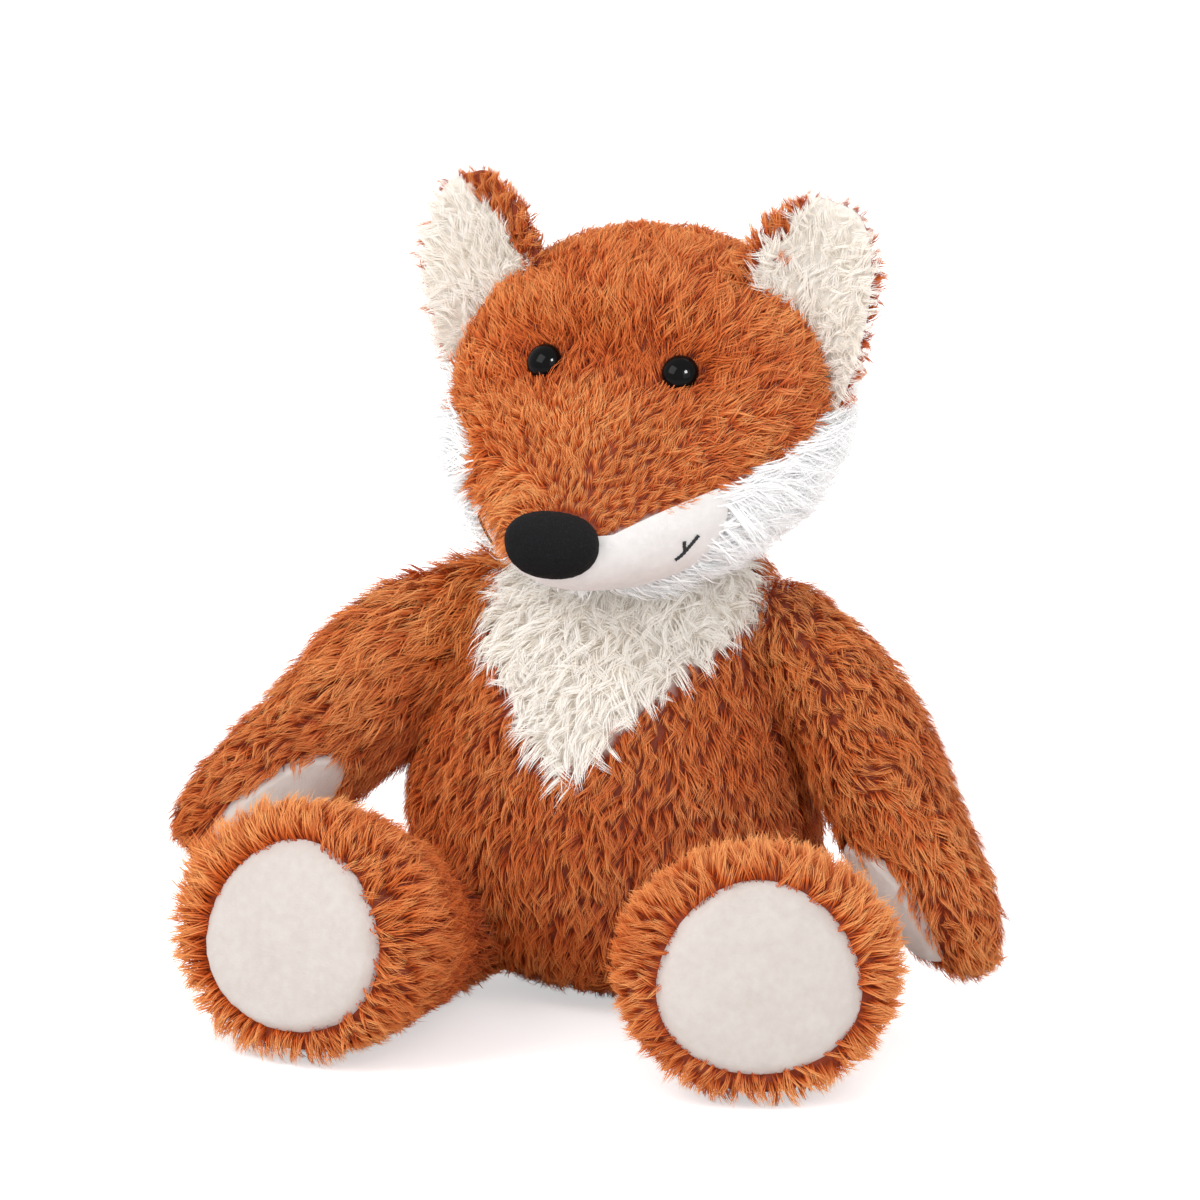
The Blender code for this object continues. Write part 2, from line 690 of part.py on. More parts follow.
def ear_panel(name, finish, head, seat, sign, front):
    """One cupped petal of an ear. The two petals lie back to back with a seam between."""
    base_z = -EAR_SINK_SHARE * EAR_LENGTH
    mesh = bmesh.new()
    rows = []
    for height, width in EAR_SHARES:
        row = []
        for across in EAR_ACROSS_SHARES:
            place = Vector(
                (
                    across * width * EAR_WIDTH / 2,
                    -EAR_CUP * (across * width) ** 2,
                    base_z + height * EAR_LENGTH,
                )
            )
            row.append(mesh.verts.new(place))
        rows.append(row)
    for near, far in zip(rows, rows[1:]):
        for step in range(len(EAR_ACROSS_SHARES) - 1):
            mesh.faces.new((near[step], near[step + 1], far[step + 1], far[step]))
    # The petal's faces point to -Y, the front. Half a seam is left before the thickness is added.
    lift = -SEAM / 2 if front else SEAM / 2
    bmesh.ops.translate(mesh, vec=(0.0, lift, 0.0), verts=mesh.verts)
    data = bpy.data.meshes.new(name)
    mesh.to_mesh(data)
    mesh.free()
    panel = mesh_object(name, data, parts, head)
    thick = panel.modifiers.new("pile", "SOLIDIFY")
    thick.thickness = EAR_PANEL
    thick.offset = 1.0 if front else -1.0
    subdivide(panel)
    dressed(panel, finish)
    toe = Matrix.Rotation(math.radians(-sign * EAR_TOE_DEG), 4, "Z")
    spread = Matrix.Rotation(math.radians(sign * EAR_SPREAD_DEG), 4, "Y")
    place = (sign * EAR_BASE_X, EAR_BASE_Y, EAR_BASE_RISE - HEAD_BASE_DROP)
    panel.matrix_local = Matrix.Translation(place) @ spread @ toe
    cut(panel, seat)
    if front:
        half = EAR_WIDTH / 2
        near, far = sorted((-sign * (1 - EAR_WRAP_SHARE) * half, -sign * 2 * half))
        lap = box(f"{name}_lap", (near, -EAR_WIDTH, -EAR_LENGTH), (far, EAR_WIDTH, 2 * EAR_LENGTH), panel)
        cut(panel, lap)
    return panel


def make_head():
    turn = Matrix.Rotation(math.radians(HEAD_TURN_DEG), 3, "Z")
    tilt = Matrix.Rotation(math.radians(HEAD_TILT_DEG), 3, "Y")
    head = pivot("head_pivot", (0.0, NECK_Y, NECK_Z), turn @ tilt)
    # The well is square to the neck's axis and not to the tilted head, so the head turns clear of the neck.
    well = cylinder("neck_well", NECK_WELL_RADIUS, NECK_Z - OVERRUN, NECK_Z + SEAM, (0.0, NECK_Y))
    form = head_form()
    cavity = form.solid("head_cavity", cutters, head, inset=PLUSH)
    outer = form.solid("head_outer", cutters, head)
    muzzle_outer = form.solid("muzzle_outer", cutters, head, inset=SHORT_PILE_DROP)
    seat = form.solid("ear_seat", cutters, head, inset=-SEAM)
    regions = head_regions(head)
    nose_centre = (0.0, NOSE_DROP_Z - HEAD_BASE_DROP + NOSE_HEIGHT / 2)
    tip = HEAD_LENGTH - HEAD_BACK_Y
    nose_room = outline_block(
        "nose_room",
        oval(NOSE_WIDTH, NOSE_HEIGHT, grow=SEAM, centre=nose_centre),
        tip - NOSE_DEPTH - SEAM,
        tip + OVERRUN,
        FRONT_VIEW,
        head,
    )
    nose_outline = outline_block(
        "nose_outline",
        oval(NOSE_WIDTH, NOSE_HEIGHT, centre=nose_centre),
        tip - NOSE_DEPTH,
        tip + OVERRUN,
        FRONT_VIEW,
        head,
    )
    seats = eye_seats(head, outer)
    sockets = []
    wells = []
    for side in ("left", "right"):
        socket, eye_well = make_eye(side, seats[side], head)
        sockets.append(socket)
        wells.append(eye_well)

    face = dressed(form.solid("head_face_panel", parts, head), "orange_plush")
    cut(face, cavity)
    keep(face, regions["face"])
    cut(face, nose_room, *sockets)
    back = dressed(form.solid("head_back_panel", parts, head), "orange_plush")
    cut(back, cavity)
    keep(back, regions["back"])
    cut(back, well)
    muzzle = dressed(form.solid("muzzle_panel", parts, head, inset=SHORT_PILE_DROP), "white_velboa")
    cut(muzzle, cavity, well, nose_room)
    keep(muzzle, regions["muzzle"])
    for side, sign in (("left", 1), ("right", -1)):
        near, far = sorted((sign * SEAM, sign * HEAD_WIDTH))
        half = box(f"{side}_half", (near, -HEAD_LENGTH, -HEAD_HEIGHT), (far, HEAD_LENGTH, 2 * HEAD_HEIGHT), head)
        cheek = dressed(form.solid(f"cheek_{side}", parts, head), "white_plush")
        cut(cheek, cavity)
        keep(cheek, regions["cheek"], half)
        cut(cheek, well)
        ear_panel(f"ear_{side}_lining", "cream_plush", head, seat, sign, True)
        ear_panel(f"ear_{side}_back", "orange_plush", head, seat, sign, False)
        mouth_thread(side, sign, muzzle_outer, head)
    nose = dressed(form.solid("nose", parts, head, inset=-NOSE_PROUD), "black_thread")
    cut(nose, cavity)
    keep(nose, nose_outline)
    stuffing = dressed(form.solid("head_stuffing", parts, head, inset=PLUSH + SEAM), "fibre_stuffing")
    cut(stuffing, well, *wells)


# Limbs


def arm_frame(side, sign):
    """The arm's turn: X along the arm, Y level and square to it, Z up and out. The hinge is on Y."""
    heading = math.radians(ARM_HEADING_DEG[side])
    drop = math.radians(ARM_DROP_DEG[side])
    level = Vector((sign * math.cos(heading), -math.sin(heading), 0))
    along = level * math.cos(drop) - Vector((0, 0, math.sin(drop)))
    outward = level * math.sin(drop) + Vector((0, 0, math.cos(drop)))
    return axes(along, outward.cross(along), outward)


def arm_pivot(side, sign):
    return pivot(f"arm_{side}_pivot", (sign * SHOULDER_X, SHOULDER_Y, SHOULDER_Z), arm_frame(side, sign))


def leg_pivot(side, sign):
    splay = math.radians(LEG_SPLAY_DEG[side])
    along = Vector((sign * math.sin(splay), -math.cos(splay), 0))
    turn = axes(along, Vector((0, 0, 1)).cross(along), (0, 0, 1))
    return pivot(f"leg_{side}_pivot", (sign * HIP_X, HIP_Y, LEG_ROOT_RADIUS - TORSO_SINK), turn)


def tail_pivot():
    heading = math.radians(TAIL_HEADING_DEG)
    along = Vector((-math.sin(heading), math.cos(heading), 0))
    turn = axes(along, Vector((0, 0, 1)).cross(along), (0, 0, 1))
    return pivot("tail_pivot", (0.0, TAIL_Y, TAIL_ROOT_RADIUS + SWING_ROOM), turn)


def trunk_beside(side, arm):
    """What an arm that hangs against the torso is cut by: the torso, at each end of the arm's lowering."""
    lowering = math.radians(ARM_LOWERING_DEG[side])
    trunks = []
    for angle in sorted({0.0, lowering}):
        name = f"trunk_beside_{side}_{len(trunks)}"
        trunk = torso_form().solid(name, cutters, inset=-4 * SEAM)
        shoulder = pocket(
            f"{name}_pocket", ARM_ROOT_RADIUS, ARM_ROOT_RADIUS, RAISING_VIEW, None, room=SWING_ROOM / 2
        )
        # A dropped arm meets the torso as the arm at rest meets a torso turned up by the same angle.
        turned_up = arm.matrix_world @ Matrix.Rotation(-angle, 4, "Y")
        shoulder.matrix_world = turned_up
        trunk.matrix_world = turned_up @ arm.matrix_world.inverted()
        cut(trunk, shoulder)
        trunks.append(trunk)
    return trunks


def make_arm(side, sign, arm):
    roll = math.radians(PALM_ROLL_DEG[side])
    palm = Vector((0, -sign * math.cos(roll), math.sin(roll)))
    across = Vector((1, 0, 0)).cross(palm)
    rings = []
    for reach, width, depth, bow in ARM_SHARES:
        centre = (reach * ARM_LENGTH, 0, bow * ARM_LENGTH)
        rings.append((centre, width * ARM_WIDTH / 2, depth * ARM_DEPTH / 2, 0.0))
    form = limb_form(ARM_ROOT_RADIUS, ARM_ROOT_RADIUS, ARM_LENGTH, rings, across, palm)
    cavity = form.solid(f"arm_{side}_cavity", cutters, arm, inset=PLUSH)
    end = sewn_end(f"arm_{side}_end", ARM_ROOT_RADIUS, arm)
    trunks = trunk_beside(side, arm)
    palm_view = axes((1, 0, 0), palm.cross((1, 0, 0)), palm)
    centre = (PALM_REACH, 0.0)
    room_outline = oval(PALM_LENGTH, PALM_WIDTH, grow=SEAM, centre=centre)
    pad_outline = oval(PALM_LENGTH, PALM_WIDTH, centre=centre)
    room = outline_block(f"palm_{side}_room", room_outline, 0.0, ARM_DEPTH, palm_view, arm)
    outline = outline_block(f"palm_{side}_outline", pad_outline, 0.0, ARM_DEPTH, palm_view, arm)
    hollow(form, f"arm_{side}_skin", "orange_plush", arm, cavity, end, room, *trunks)
    pad = dressed(form.solid(f"palm_{side}_pad", parts, arm, inset=SHORT_PILE_DROP), "cream_velboa")
    cut(pad, cavity)
    keep(pad, outline)
    stuffing = form.solid(f"arm_{side}_stuffing", parts, arm, inset=PLUSH + SEAM)
    cut(dressed(stuffing, "fibre_stuffing"), end, *trunks)


def make_leg(side, leg, floor):
    rings = []
    for reach, width, height, lean in LEG_SHARES:
        half_height = height * FOOT_HEIGHT / 2
        # The underside stays on the floor as the leg grows towards the foot.
        rise = half_height - LEG_ROOT_RADIUS
        centre = (reach * LEG_LENGTH, 0, rise)
        rings.append((centre, width * FOOT_WIDTH / 2, half_height, -lean * SOLE_LEAN_SHARE))
    form = limb_form(LEG_ROOT_RADIUS, LEG_ROOT_WIDTH / 2, LEG_LENGTH, rings)
    foot_rise = FOOT_HEIGHT / 2 - LEG_ROOT_RADIUS
    form.close((-LEG_ROOT_RADIUS, 0, 0), (LEG_LENGTH, 0, foot_rise))
    cavity = form.solid(f"leg_{side}_cavity", cutters, leg, inset=PLUSH)
    end = sewn_end(f"leg_{side}_end", LEG_ROOT_RADIUS, leg)
    start = LEG_LENGTH - 2 * PLUSH - SOLE_LEAN_SHARE * FOOT_HEIGHT
    stop = LEG_LENGTH + OVERRUN
    centre = (0.0, foot_rise)
    room_outline = oval(SOLE_WIDTH, SOLE_HEIGHT, SOLE_EGG_SHARE, SEAM, centre)
    sole_outline = oval(SOLE_WIDTH, SOLE_HEIGHT, SOLE_EGG_SHARE, 0.0, centre)
    room = outline_block(f"sole_{side}_room", room_outline, start, stop, LIMB_END_VIEW, leg)
    outline = outline_block(f"sole_{side}_outline", sole_outline, start, stop, LIMB_END_VIEW, leg)
    hollow(form, f"leg_{side}_skin", "orange_plush", leg, cavity, end, room, floor)
    sole = dressed(form.solid(f"sole_{side}_pad", parts, leg, inset=SHORT_PILE_DROP), "cream_velboa")
    cut(sole, cavity)
    keep(sole, outline)
    stuffing = form.solid(f"leg_{side}_stuffing", parts, leg, inset=PLUSH + SEAM)
    cut(dressed(stuffing, "fibre_stuffing"), end)


def make_tail(tail, floor):
    rings = []
    ground = -TAIL_ROOT_RADIUS - SWING_ROOM - TORSO_SINK
    for reach, width in TAIL_SHARES:
        half = width * TAIL_WIDTH / 2
        rings.append(((reach * TAIL_LENGTH, 0, ground + half), half, half, 0.0))
    form = limb_form(TAIL_ROOT_RADIUS, TAIL_ROOT_RADIUS, TAIL_LENGTH, rings)
    tip_z = ground + TAIL_SHARES[-1][1] * TAIL_WIDTH / 2
    form.close((-TAIL_ROOT_RADIUS, 0, 0), (TAIL_LENGTH, 0, tip_z))
    cavity = form.solid("tail_cavity", cutters, tail, inset=PLUSH)
    end = sewn_end("tail_end", TAIL_ROOT_RADIUS, tail)
    wide = TAIL_LENGTH + OVERRUN
    seam_at = TAIL_LENGTH - TAIL_TIP_LENGTH
    beyond = box("beyond_tip_seam", (seam_at - SEAM / 2, -wide, -wide), (2 * wide, wide, wide), tail)
    before = box("before_tip_seam", (-wide, -wide, -wide), (seam_at + SEAM / 2, wide, wide), tail)
    hollow(form, "tail_skin", "orange_plush", tail, cavity, end, beyond, floor)
    tip = dressed(form.solid("tail_tip", parts, tail), "white_plush")
    cut(tip, cavity, before, floor)
    stuffing = form.solid("tail_stuffing", parts, tail, inset=PLUSH + SEAM)
    cut(dressed(stuffing, "fibre_stuffing"), end)


clear_scene()
parts = new_collection("plush_fox")
cutters = new_collection("cutters")


def main():
    floor = floor_block()
    tail = tail_pivot()
    pockets = [
        pocket("tail_pocket", TAIL_ROOT_RADIUS, TAIL_ROOT_RADIUS, LEVEL_VIEW, tail, TAIL_SWING_DEG)
    ]
    arms = {}
    legs = {}
    for side, sign in (("left", 1), ("right", -1)):
        arms[side] = arm_pivot(side, sign)
        legs[side] = leg_pivot(side, sign)
        pockets.append(
            pocket(f"shoulder_pocket_{side}", ARM_ROOT_RADIUS, ARM_ROOT_RADIUS, RAISING_VIEW, arms[side])
        )
        pockets.append(
            pocket(
                f"hip_pocket_{side}",
                LEG_ROOT_RADIUS,
                LEG_ROOT_WIDTH / 2,
                RAISING_VIEW,
                legs[side],
                LEG_SWING_DEG,
                HIP_ROOM,
            )
        )
    bpy.context.view_layer.update()
    make_torso(floor, pockets)
    make_head()
    for side, sign in (("left", 1), ("right", -1)):
        make_arm(side, sign, arms[side])
        make_leg(side, legs[side], floor)
    make_tail(tail, floor)


main()
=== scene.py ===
import math
import random

import bmesh
import bpy
import numpy as np
from mathutils import Matrix, Vector, noise
from mathutils.bvhtree import BVHTree


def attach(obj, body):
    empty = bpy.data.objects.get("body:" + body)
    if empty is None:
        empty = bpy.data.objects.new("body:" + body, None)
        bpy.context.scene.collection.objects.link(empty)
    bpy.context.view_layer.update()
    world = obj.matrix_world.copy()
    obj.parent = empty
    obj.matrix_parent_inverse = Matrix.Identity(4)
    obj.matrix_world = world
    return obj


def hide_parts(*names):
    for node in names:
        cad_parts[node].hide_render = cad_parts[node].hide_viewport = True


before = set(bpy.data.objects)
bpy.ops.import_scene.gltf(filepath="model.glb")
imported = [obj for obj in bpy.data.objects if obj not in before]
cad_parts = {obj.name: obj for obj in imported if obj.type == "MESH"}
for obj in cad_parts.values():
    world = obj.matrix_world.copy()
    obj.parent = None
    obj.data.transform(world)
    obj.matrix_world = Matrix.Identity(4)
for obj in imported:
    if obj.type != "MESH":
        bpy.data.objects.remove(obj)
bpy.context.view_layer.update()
scene = bpy.context.scene
bothSides = (("left", 1), ("right", -1))
materials = {}
print("plush fox: frame loaded")


def feed(tree, socket, value):
    if isinstance(value, Wire):
        tree.links.new(value.socket, socket)
    else:
        socket.default_value = value


class Wire:  # a node's output that can be used in sums
    def __init__(self, tree, socket):
        self.tree = tree
        self.socket = socket

    def sum(self, operation, first, second):
        node = self.tree.nodes.new("ShaderNodeMath")
        node.operation = operation
        for socket, value in zip(node.inputs, (first, second)):
            feed(self.tree, socket, value)
        return Wire(self.tree, node.outputs[0])

    def beside(self, output):
        # another output of the same node
        return Wire(self.tree, self.socket.node.outputs[output])

    def __add__(self, other):
        return self.sum("ADD", self, other)

    def __radd__(self, other):
        return self.sum("ADD", other, self)

    def __sub__(self, other):
        return self.sum("SUBTRACT", self, other)

    def __rsub__(self, other):
        return self.sum("SUBTRACT", other, self)

    def __mul__(self, other):
        return self.sum("MULTIPLY", self, other)

    def __rmul__(self, other):
        return self.sum("MULTIPLY", other, self)


class Bench:  # a node tree being put together
    def __init__(self, tree):
        self.tree = tree

    def add(self, kind, settings, sockets, output=0):
        node = self.tree.nodes.new(kind)
        for name, value in settings.items():
            if name == "stops":
                ramp = node.color_ramp
                for spare in list(ramp.elements)[1:]:
                    ramp.elements.remove(spare)
                ramp.elements[0].position = value[0][0]
                ramp.elements[0].color = (*value[0][1], 1)
                for place, colour in value[1:]:
                    ramp.elements.new(place).color = (*colour, 1)
            else:
                setattr(node, name, value)
        for name, value in sockets.items():
            feed(self.tree, node.inputs[name], value)
        return Wire(self.tree, node.outputs[output]) if node.outputs else None

    def noise(self, scale, detail, roughness=0.5):
        place = self.add("ShaderNodeTexCoord", {}, {}, 3)
        sockets = {"Vector": place, "Scale": scale, "Detail": detail, "Roughness": roughness}
        return self.add("ShaderNodeTexNoise", {}, sockets)

    def mix(self, factor, first, second, blend="MIX"):
        # colours are wires or three numbers
        first, second = (end if isinstance(end, Wire) else (*end, 1) for end in (first, second))
        settings = {"data_type": "RGBA", "blend_type": blend}
        return self.add("ShaderNodeMix", settings, {0: factor, 6: first, 7: second}, 2)

    def bump(self, height, strength, distance):
        sockets = {"Strength": strength, "Distance": distance, "Height": height}
        return self.add("ShaderNodeBump", {}, sockets)

    def finish(self, sockets):
        shader = self.add("ShaderNodeBsdfPrincipled", {}, sockets)
        self.add("ShaderNodeOutputMaterial", {}, {"Surface": shader})


def startMaterial(name, viewColour):
    material = bpy.data.materials.new(name)
    material.use_nodes = True
    material.node_tree.nodes.clear()
    material.diffuse_color = (*viewColour, 1)
    materials[name] = material
    return Bench(material.node_tree)


# colours run from the root of a strand to its tip, for the darkest and the lightest tufts; the darker roots
# are partly the pile's own colour and partly painted shade deep in the pile
pileLooks = {
    "orangePile": {
        "dark": ((0.0, (0.24, 0.023, 0.001)), (0.26, (0.45, 0.056, 0.003)), (1.0, (0.86, 0.215, 0.038))),
        "light": ((0.0, (0.38, 0.048, 0.003)), (0.26, (0.69, 0.120, 0.010)), (1.0, (1.0, 0.54, 0.19))),
        "sheen": (1.0, 0.60, 0.34, 1),
        "glow": 0.0,
    },
    "whitePile": {
        "dark": ((0.0, (0.93, 0.92, 0.92)), (0.4, (0.96, 0.96, 0.96)), (1.0, (0.97, 0.97, 0.97))),
        "light": ((0.0, (0.95, 0.95, 0.95)), (0.4, (0.97, 0.97, 0.97)), (1.0, (0.99, 0.99, 0.99))),
        "sheen": (1.0, 1.0, 1.0, 1),
        "glow": 0.05,  # painted light: pale fibre glows a little, standing in for the light it passes on inside the pile
    },
    "creamPile": {
        "dark": ((0.0, (0.88, 0.80, 0.69)), (0.4, (0.96, 0.90, 0.81)), (1.0, (0.98, 0.93, 0.87))),
        "light": ((0.0, (0.94, 0.87, 0.78)), (0.4, (0.98, 0.94, 0.88)), (1.0, (0.99, 0.96, 0.92))),
        "sheen": (1.0, 0.96, 0.88, 1),
        "glow": 0.045,
    },
}


def pileMaterial(name, look):
    # the pile's own map runs from tint to tint across, and from root to tip upwards
    bench = startMaterial(name, look["light"][1][1])
    place = bench.add("ShaderNodeUVMap", {"uv_map": "OFBake"}, {})
    tint = bench.add("ShaderNodeSeparateXYZ", {}, {"Vector": place})
    reach = tint.beside(1)
    dark = bench.add("ShaderNodeValToRGB", {"stops": look["dark"]}, {"Fac": reach})
    light = bench.add("ShaderNodeValToRGB", {"stops": look["light"]}, {"Fac": reach})
    colour = bench.mix(tint, dark, light)
    sockets = {
        "Base Color": colour,
        "Roughness": 0.72,
        "Specular IOR Level": 0.2,
        "Sheen Weight": 0.08,
        "Sheen Roughness": 0.45,
        "Sheen Tint": look["sheen"],
        # the pale piles glow in their own colour: painted light that lifts the shade between strands
        "Emission Color": colour,
        "Emission Strength": look["glow"],
    }
    bench.finish(sockets)


def backingMaterial(name, colour, paleColour, patchyShade):
    # knitted ground under the pile: fine ribs, darker in broad patches as painted shade for the gaps
    # between tufts, paler where the paler plush is sewn in
    bench = startMaterial(name, colour)
    pale = bench.add("ShaderNodeAttribute", {"attribute_name": "pale"}, {}, 2)
    knit = bench.noise(scale=900.0, detail=3.0)
    broad = bench.noise(scale=120.0, detail=2.0)
    shade = bench.mix(broad * 0.5, bench.mix(pale, colour, paleColour), patchyShade, "MULTIPLY")
    ribs = bench.bump(knit, strength=0.5, distance=0.0004)
    bench.finish({"Base Color": shade, "Roughness": 0.95, "Normal": ribs})


def velboaMaterial(name, colour, paintedSheen):
    # short cropped pile: a soft nap, with painted sheen where it is paler in small patches as the nap
    # catches the light
    bench = startMaterial(name, colour)
    nap = bench.noise(scale=1500.0, detail=4.0, roughness=0.7)
    patch = bench.noise(scale=130.0, detail=4.0, roughness=0.6)
    pressed = bench.noise(scale=420.0, detail=3.0)
    shift = patch * 0.5 + pressed * 0.5
    factor = bench.add("ShaderNodeMapRange", {}, {"Value": shift, "From Min": 0.38, "From Max": 0.62})
    sockets = {
        "Base Color": bench.mix(factor, colour, paintedSheen),
        "Roughness": 0.88,
        "Specular IOR Level": 0.2,
        "Sheen Weight": 0.25,
        "Sheen Roughness": 0.5,
        "Normal": bench.bump(nap * 0.6 + pressed * 0.4, strength=0.55, distance=0.0005),
    }
    bench.finish(sockets)


def flockMaterial(name, colour, paintedSheen):
    # black cropped pile of the nose, with dust-fine paler specks: painted glints where its fibres catch the
    # light
    bench = startMaterial(name, colour)
    fibre = bench.noise(scale=2200.0, detail=4.0, roughness=0.8)
    glint = bench.add("ShaderNodeMapRange", {}, {"Value": fibre, "From Min": 0.55, "From Max": 0.75})
    base = bench.mix(glint, colour, paintedSheen)
    bump = bench.bump(fibre, strength=0.9, distance=0.0006)
    bench.finish({"Base Color": base, "Roughness": 0.8, "Specular IOR Level": 0.16, "Normal": bump})


def eyeMaterial(name, colour, second):
    # moulded black eye, polished, with a trace of handling haze
    bench = startMaterial(name, colour)
    haze = bench.noise(scale=300.0, detail=3.0)
    rough = bench.add("ShaderNodeMapRange", {}, {"Value": haze, "To Min": 0.03, "To Max": 0.07})
    base = bench.mix(haze, colour, second)
    bench.finish({"Base Color": base, "Roughness": rough, "Specular IOR Level": 0.10})


def plainMaterial(name, colour, second, scale, roughness):
    bench = startMaterial(name, colour)
    fine = bench.noise(scale, detail=5.0, roughness=0.75)
    bump = bench.bump(fine, strength=0.6, distance=0.0006)
    bench.finish({"Base Color": bench.mix(fine, colour, second), "Roughness": roughness, "Normal": bump})


for name, look in pileLooks.items():
    pileMaterial(name, look)
# the orange ground is a dark rust: painted shade, so that the gaps between tufts read as shadow
backingMaterial("orangeBacking", (0.30, 0.040, 0.005), (0.94, 0.91, 0.86), (0.45, 0.36, 0.30))
# the second colour of each cropped pile is its painted sheen
velboaMaterial("whiteVelboa", (0.79, 0.755, 0.735), (0.85, 0.815, 0.795))
velboaMaterial("creamVelboa", (0.595, 0.535, 0.495), (0.64, 0.585, 0.55))
flockMaterial("blackFlock", (0.003, 0.003, 0.004), (0.030, 0.030, 0.036))
eyeMaterial("eyePlastic", (0.002, 0.002, 0.002), (0.006, 0.005, 0.005))
plainMaterial("blackThread", (0.003, 0.003, 0.004), (0.014, 0.014, 0.016), 2500.0, 0.8)
plainMaterial("washerPlastic", (0.66, 0.66, 0.63), (0.76, 0.76, 0.73), 180.0, 0.45)
print("plush fox: finishes made")


# how far inside the frame's solids a cropped and a long-pile sheet lie, and the sides of their rings
cloth = {"shortDrop": 0.0022, "backing": 0.0045, "sides": 12}


def poured(work, name):
    # the mesh that a piece of work holds
    mesh = bpy.data.meshes.new(name)
    work.to_mesh(mesh)
    work.free()
    return mesh


def settled(obj):
    # the object's finished mesh, with the object and its modifiers gone
    graph = bpy.context.evaluated_depsgraph_get()
    mesh = bpy.data.meshes.new_from_object(obj.evaluated_get(graph))
    bpy.data.objects.remove(obj)
    return mesh


def worked(mesh, *steps):
    # a mesh after the modifiers that the steps name
    obj = bpy.data.objects.new(mesh.name, mesh)
    scene.collection.objects.link(obj)
    for kind, settings in steps:
        modifier = obj.modifiers.new(kind, kind)
        for name, value in settings.items():
            setattr(modifier, name, value)
    result = settled(obj)
    result.shade_smooth()
    return result


def rounded(levels):
    return "SUBSURF", {"levels": levels, "render_levels": levels}


def thickened(thickness, offset=-1.0):
    return "SOLIDIFY", {"thickness": thickness, "offset": offset}


def closeOver(work, loops, ends):
    # faces laid between neighbouring loops, and a fan to a point at each end
    sides = len(loops[0])
    for near, far in zip(loops, loops[1:]):
        for step in range(sides):
            after = (step + 1) % sides
            work.faces.new((near[step], near[after], far[after], far[step]))
    for end, loop in zip(ends, (loops[0], loops[-1])):
        tip = work.verts.new(end)
        for step in range(sides):
            work.faces.new((tip, loop[step], loop[(step + 1) % sides]))
    bmesh.ops.recalc_face_normals(work, faces=work.faces)


class StuffedForm:  # rings along a spine with a point at each end, as the frame's solids are drawn
    def __init__(self, side, up, spine):
        self.side = Vector(side)
        self.up = Vector(up)
        self.spine = Vector(spine)
        self.rings = []
        self.ends = []

    def ring(self, centre, halfSide, above, below=None, lean=0.0):
        tilt = self.up + lean * self.spine
        self.rings.append((Vector(centre), halfSide, above, above if below is None else below, tilt))

    def close(self, start, end):
        self.ends = [Vector(start), Vector(end)]

    def mesh(self, name, inset, smoothing):
        sides = cloth["sides"]
        shrink = 2 / 3 + math.cos(2 * math.pi / sides) / 3  # what the rounding takes off a ring
        along = [end.dot(self.spine) for end in self.ends]
        middle = sum(along) / 2
        length = abs(along[1] - along[0])
        squeeze = (length - 2 * inset) / length

        def drawnIn(point):
            return point + self.spine * (point.dot(self.spine) - middle) * (squeeze - 1)

        work = bmesh.new()
        loops = []
        for centre, halfSide, above, below, tilt in self.rings:
            loop = []
            for step in range(sides):
                angle = 2 * math.pi * step / sides
                halfUp = above if math.sin(angle) > 0 else below
                across = self.side * math.cos(angle) * (halfSide - inset)
                upward = tilt * math.sin(angle) * (halfUp - inset)
                loop.append(work.verts.new(drawnIn(centre) + (across + upward) / shrink))
            loops.append(loop)
        closeOver(work, loops, [drawnIn(end) for end in self.ends])
        return worked(poured(work, name), rounded(smoothing))


def vectors(mesh, what):
    values = np.empty(len(mesh.vertices) * 3, np.float32)
    mesh.vertices.foreach_get(what, values)
    return values.reshape(-1, 3).astype(float)


def setPlaces(mesh, places):
    mesh.vertices.foreach_set("co", np.asarray(places, np.float32).ravel())
    mesh.update()


def keepAttribute(mesh, name, values):
    # one number or one vector for each point
    values = np.asarray(values, np.float32)
    kind, key = ("FLOAT_VECTOR", "vector") if values.ndim == 2 else ("FLOAT", "value")
    attribute = mesh.attributes.get(name) or mesh.attributes.new(name, kind, "POINT")
    attribute.data.foreach_set(key, values.ravel())


def carried(mesh, place):
    # the mesh and its vector attributes, taken from the piece's axes to the row frame
    mesh.transform(place)
    turn = np.array(place.to_3x3())
    for name in ("comb", "rise"):
        attribute = mesh.attributes.get(name)
        if attribute:
            values = np.empty(len(mesh.vertices) * 3, np.float32)
            attribute.data.foreach_get("vector", values)
            keepAttribute(mesh, name, values.reshape(-1, 3) @ turn.T)
    return mesh


def placesIn(place, places):
    return np.array([list(place @ Vector(spot)) for spot in places])


def unit(values):
    return values / np.maximum(np.linalg.norm(values, axis=-1, keepdims=True), 1e-9)


def flat(values, normals):
    # the part of each vector that lies in the surface
    return values - (values * normals).sum(-1, keepdims=True) * normals


def smoothStep(low, high, values):
    t = np.clip((values - low) / (high - low), 0, 1)
    return t * t * (3 - 2 * t)


def bell(values, width):
    # 1 where the values are 0, and almost 0 beyond twice the width
    return np.exp(-((values / width) ** 2))


def lumps(places, size, seed):
    offset = Vector((seed * 7.3, seed * 3.1, seed * 5.7))
    return np.array([noise.noise(Vector(place) / size + offset) for place in places])


def patches(places, seed, size=0.012):
    # broad uneven tone of the plush
    return 0.5 + 0.75 * lumps(places, size, seed)


def turned(degrees, axis):
    return Matrix.Rotation(math.radians(degrees), 4, axis)


def axes(across, up, out):
    return Matrix((across, up, out)).transposed()


def bushOf(mesh):
    # for finding the nearest place on a mesh
    corners = [vertex.co.copy() for vertex in mesh.vertices]
    return BVHTree.FromPolygons(corners, [tuple(face.vertices) for face in mesh.polygons])


def depthIn(bush, places):
    # how deep each point lies inside a closed skin
    depths = []
    for place in places:
        near, normal, _, _ = bush.find_nearest(Vector(place))
        depths.append((near - Vector(place)).dot(normal))
    return np.array(depths)


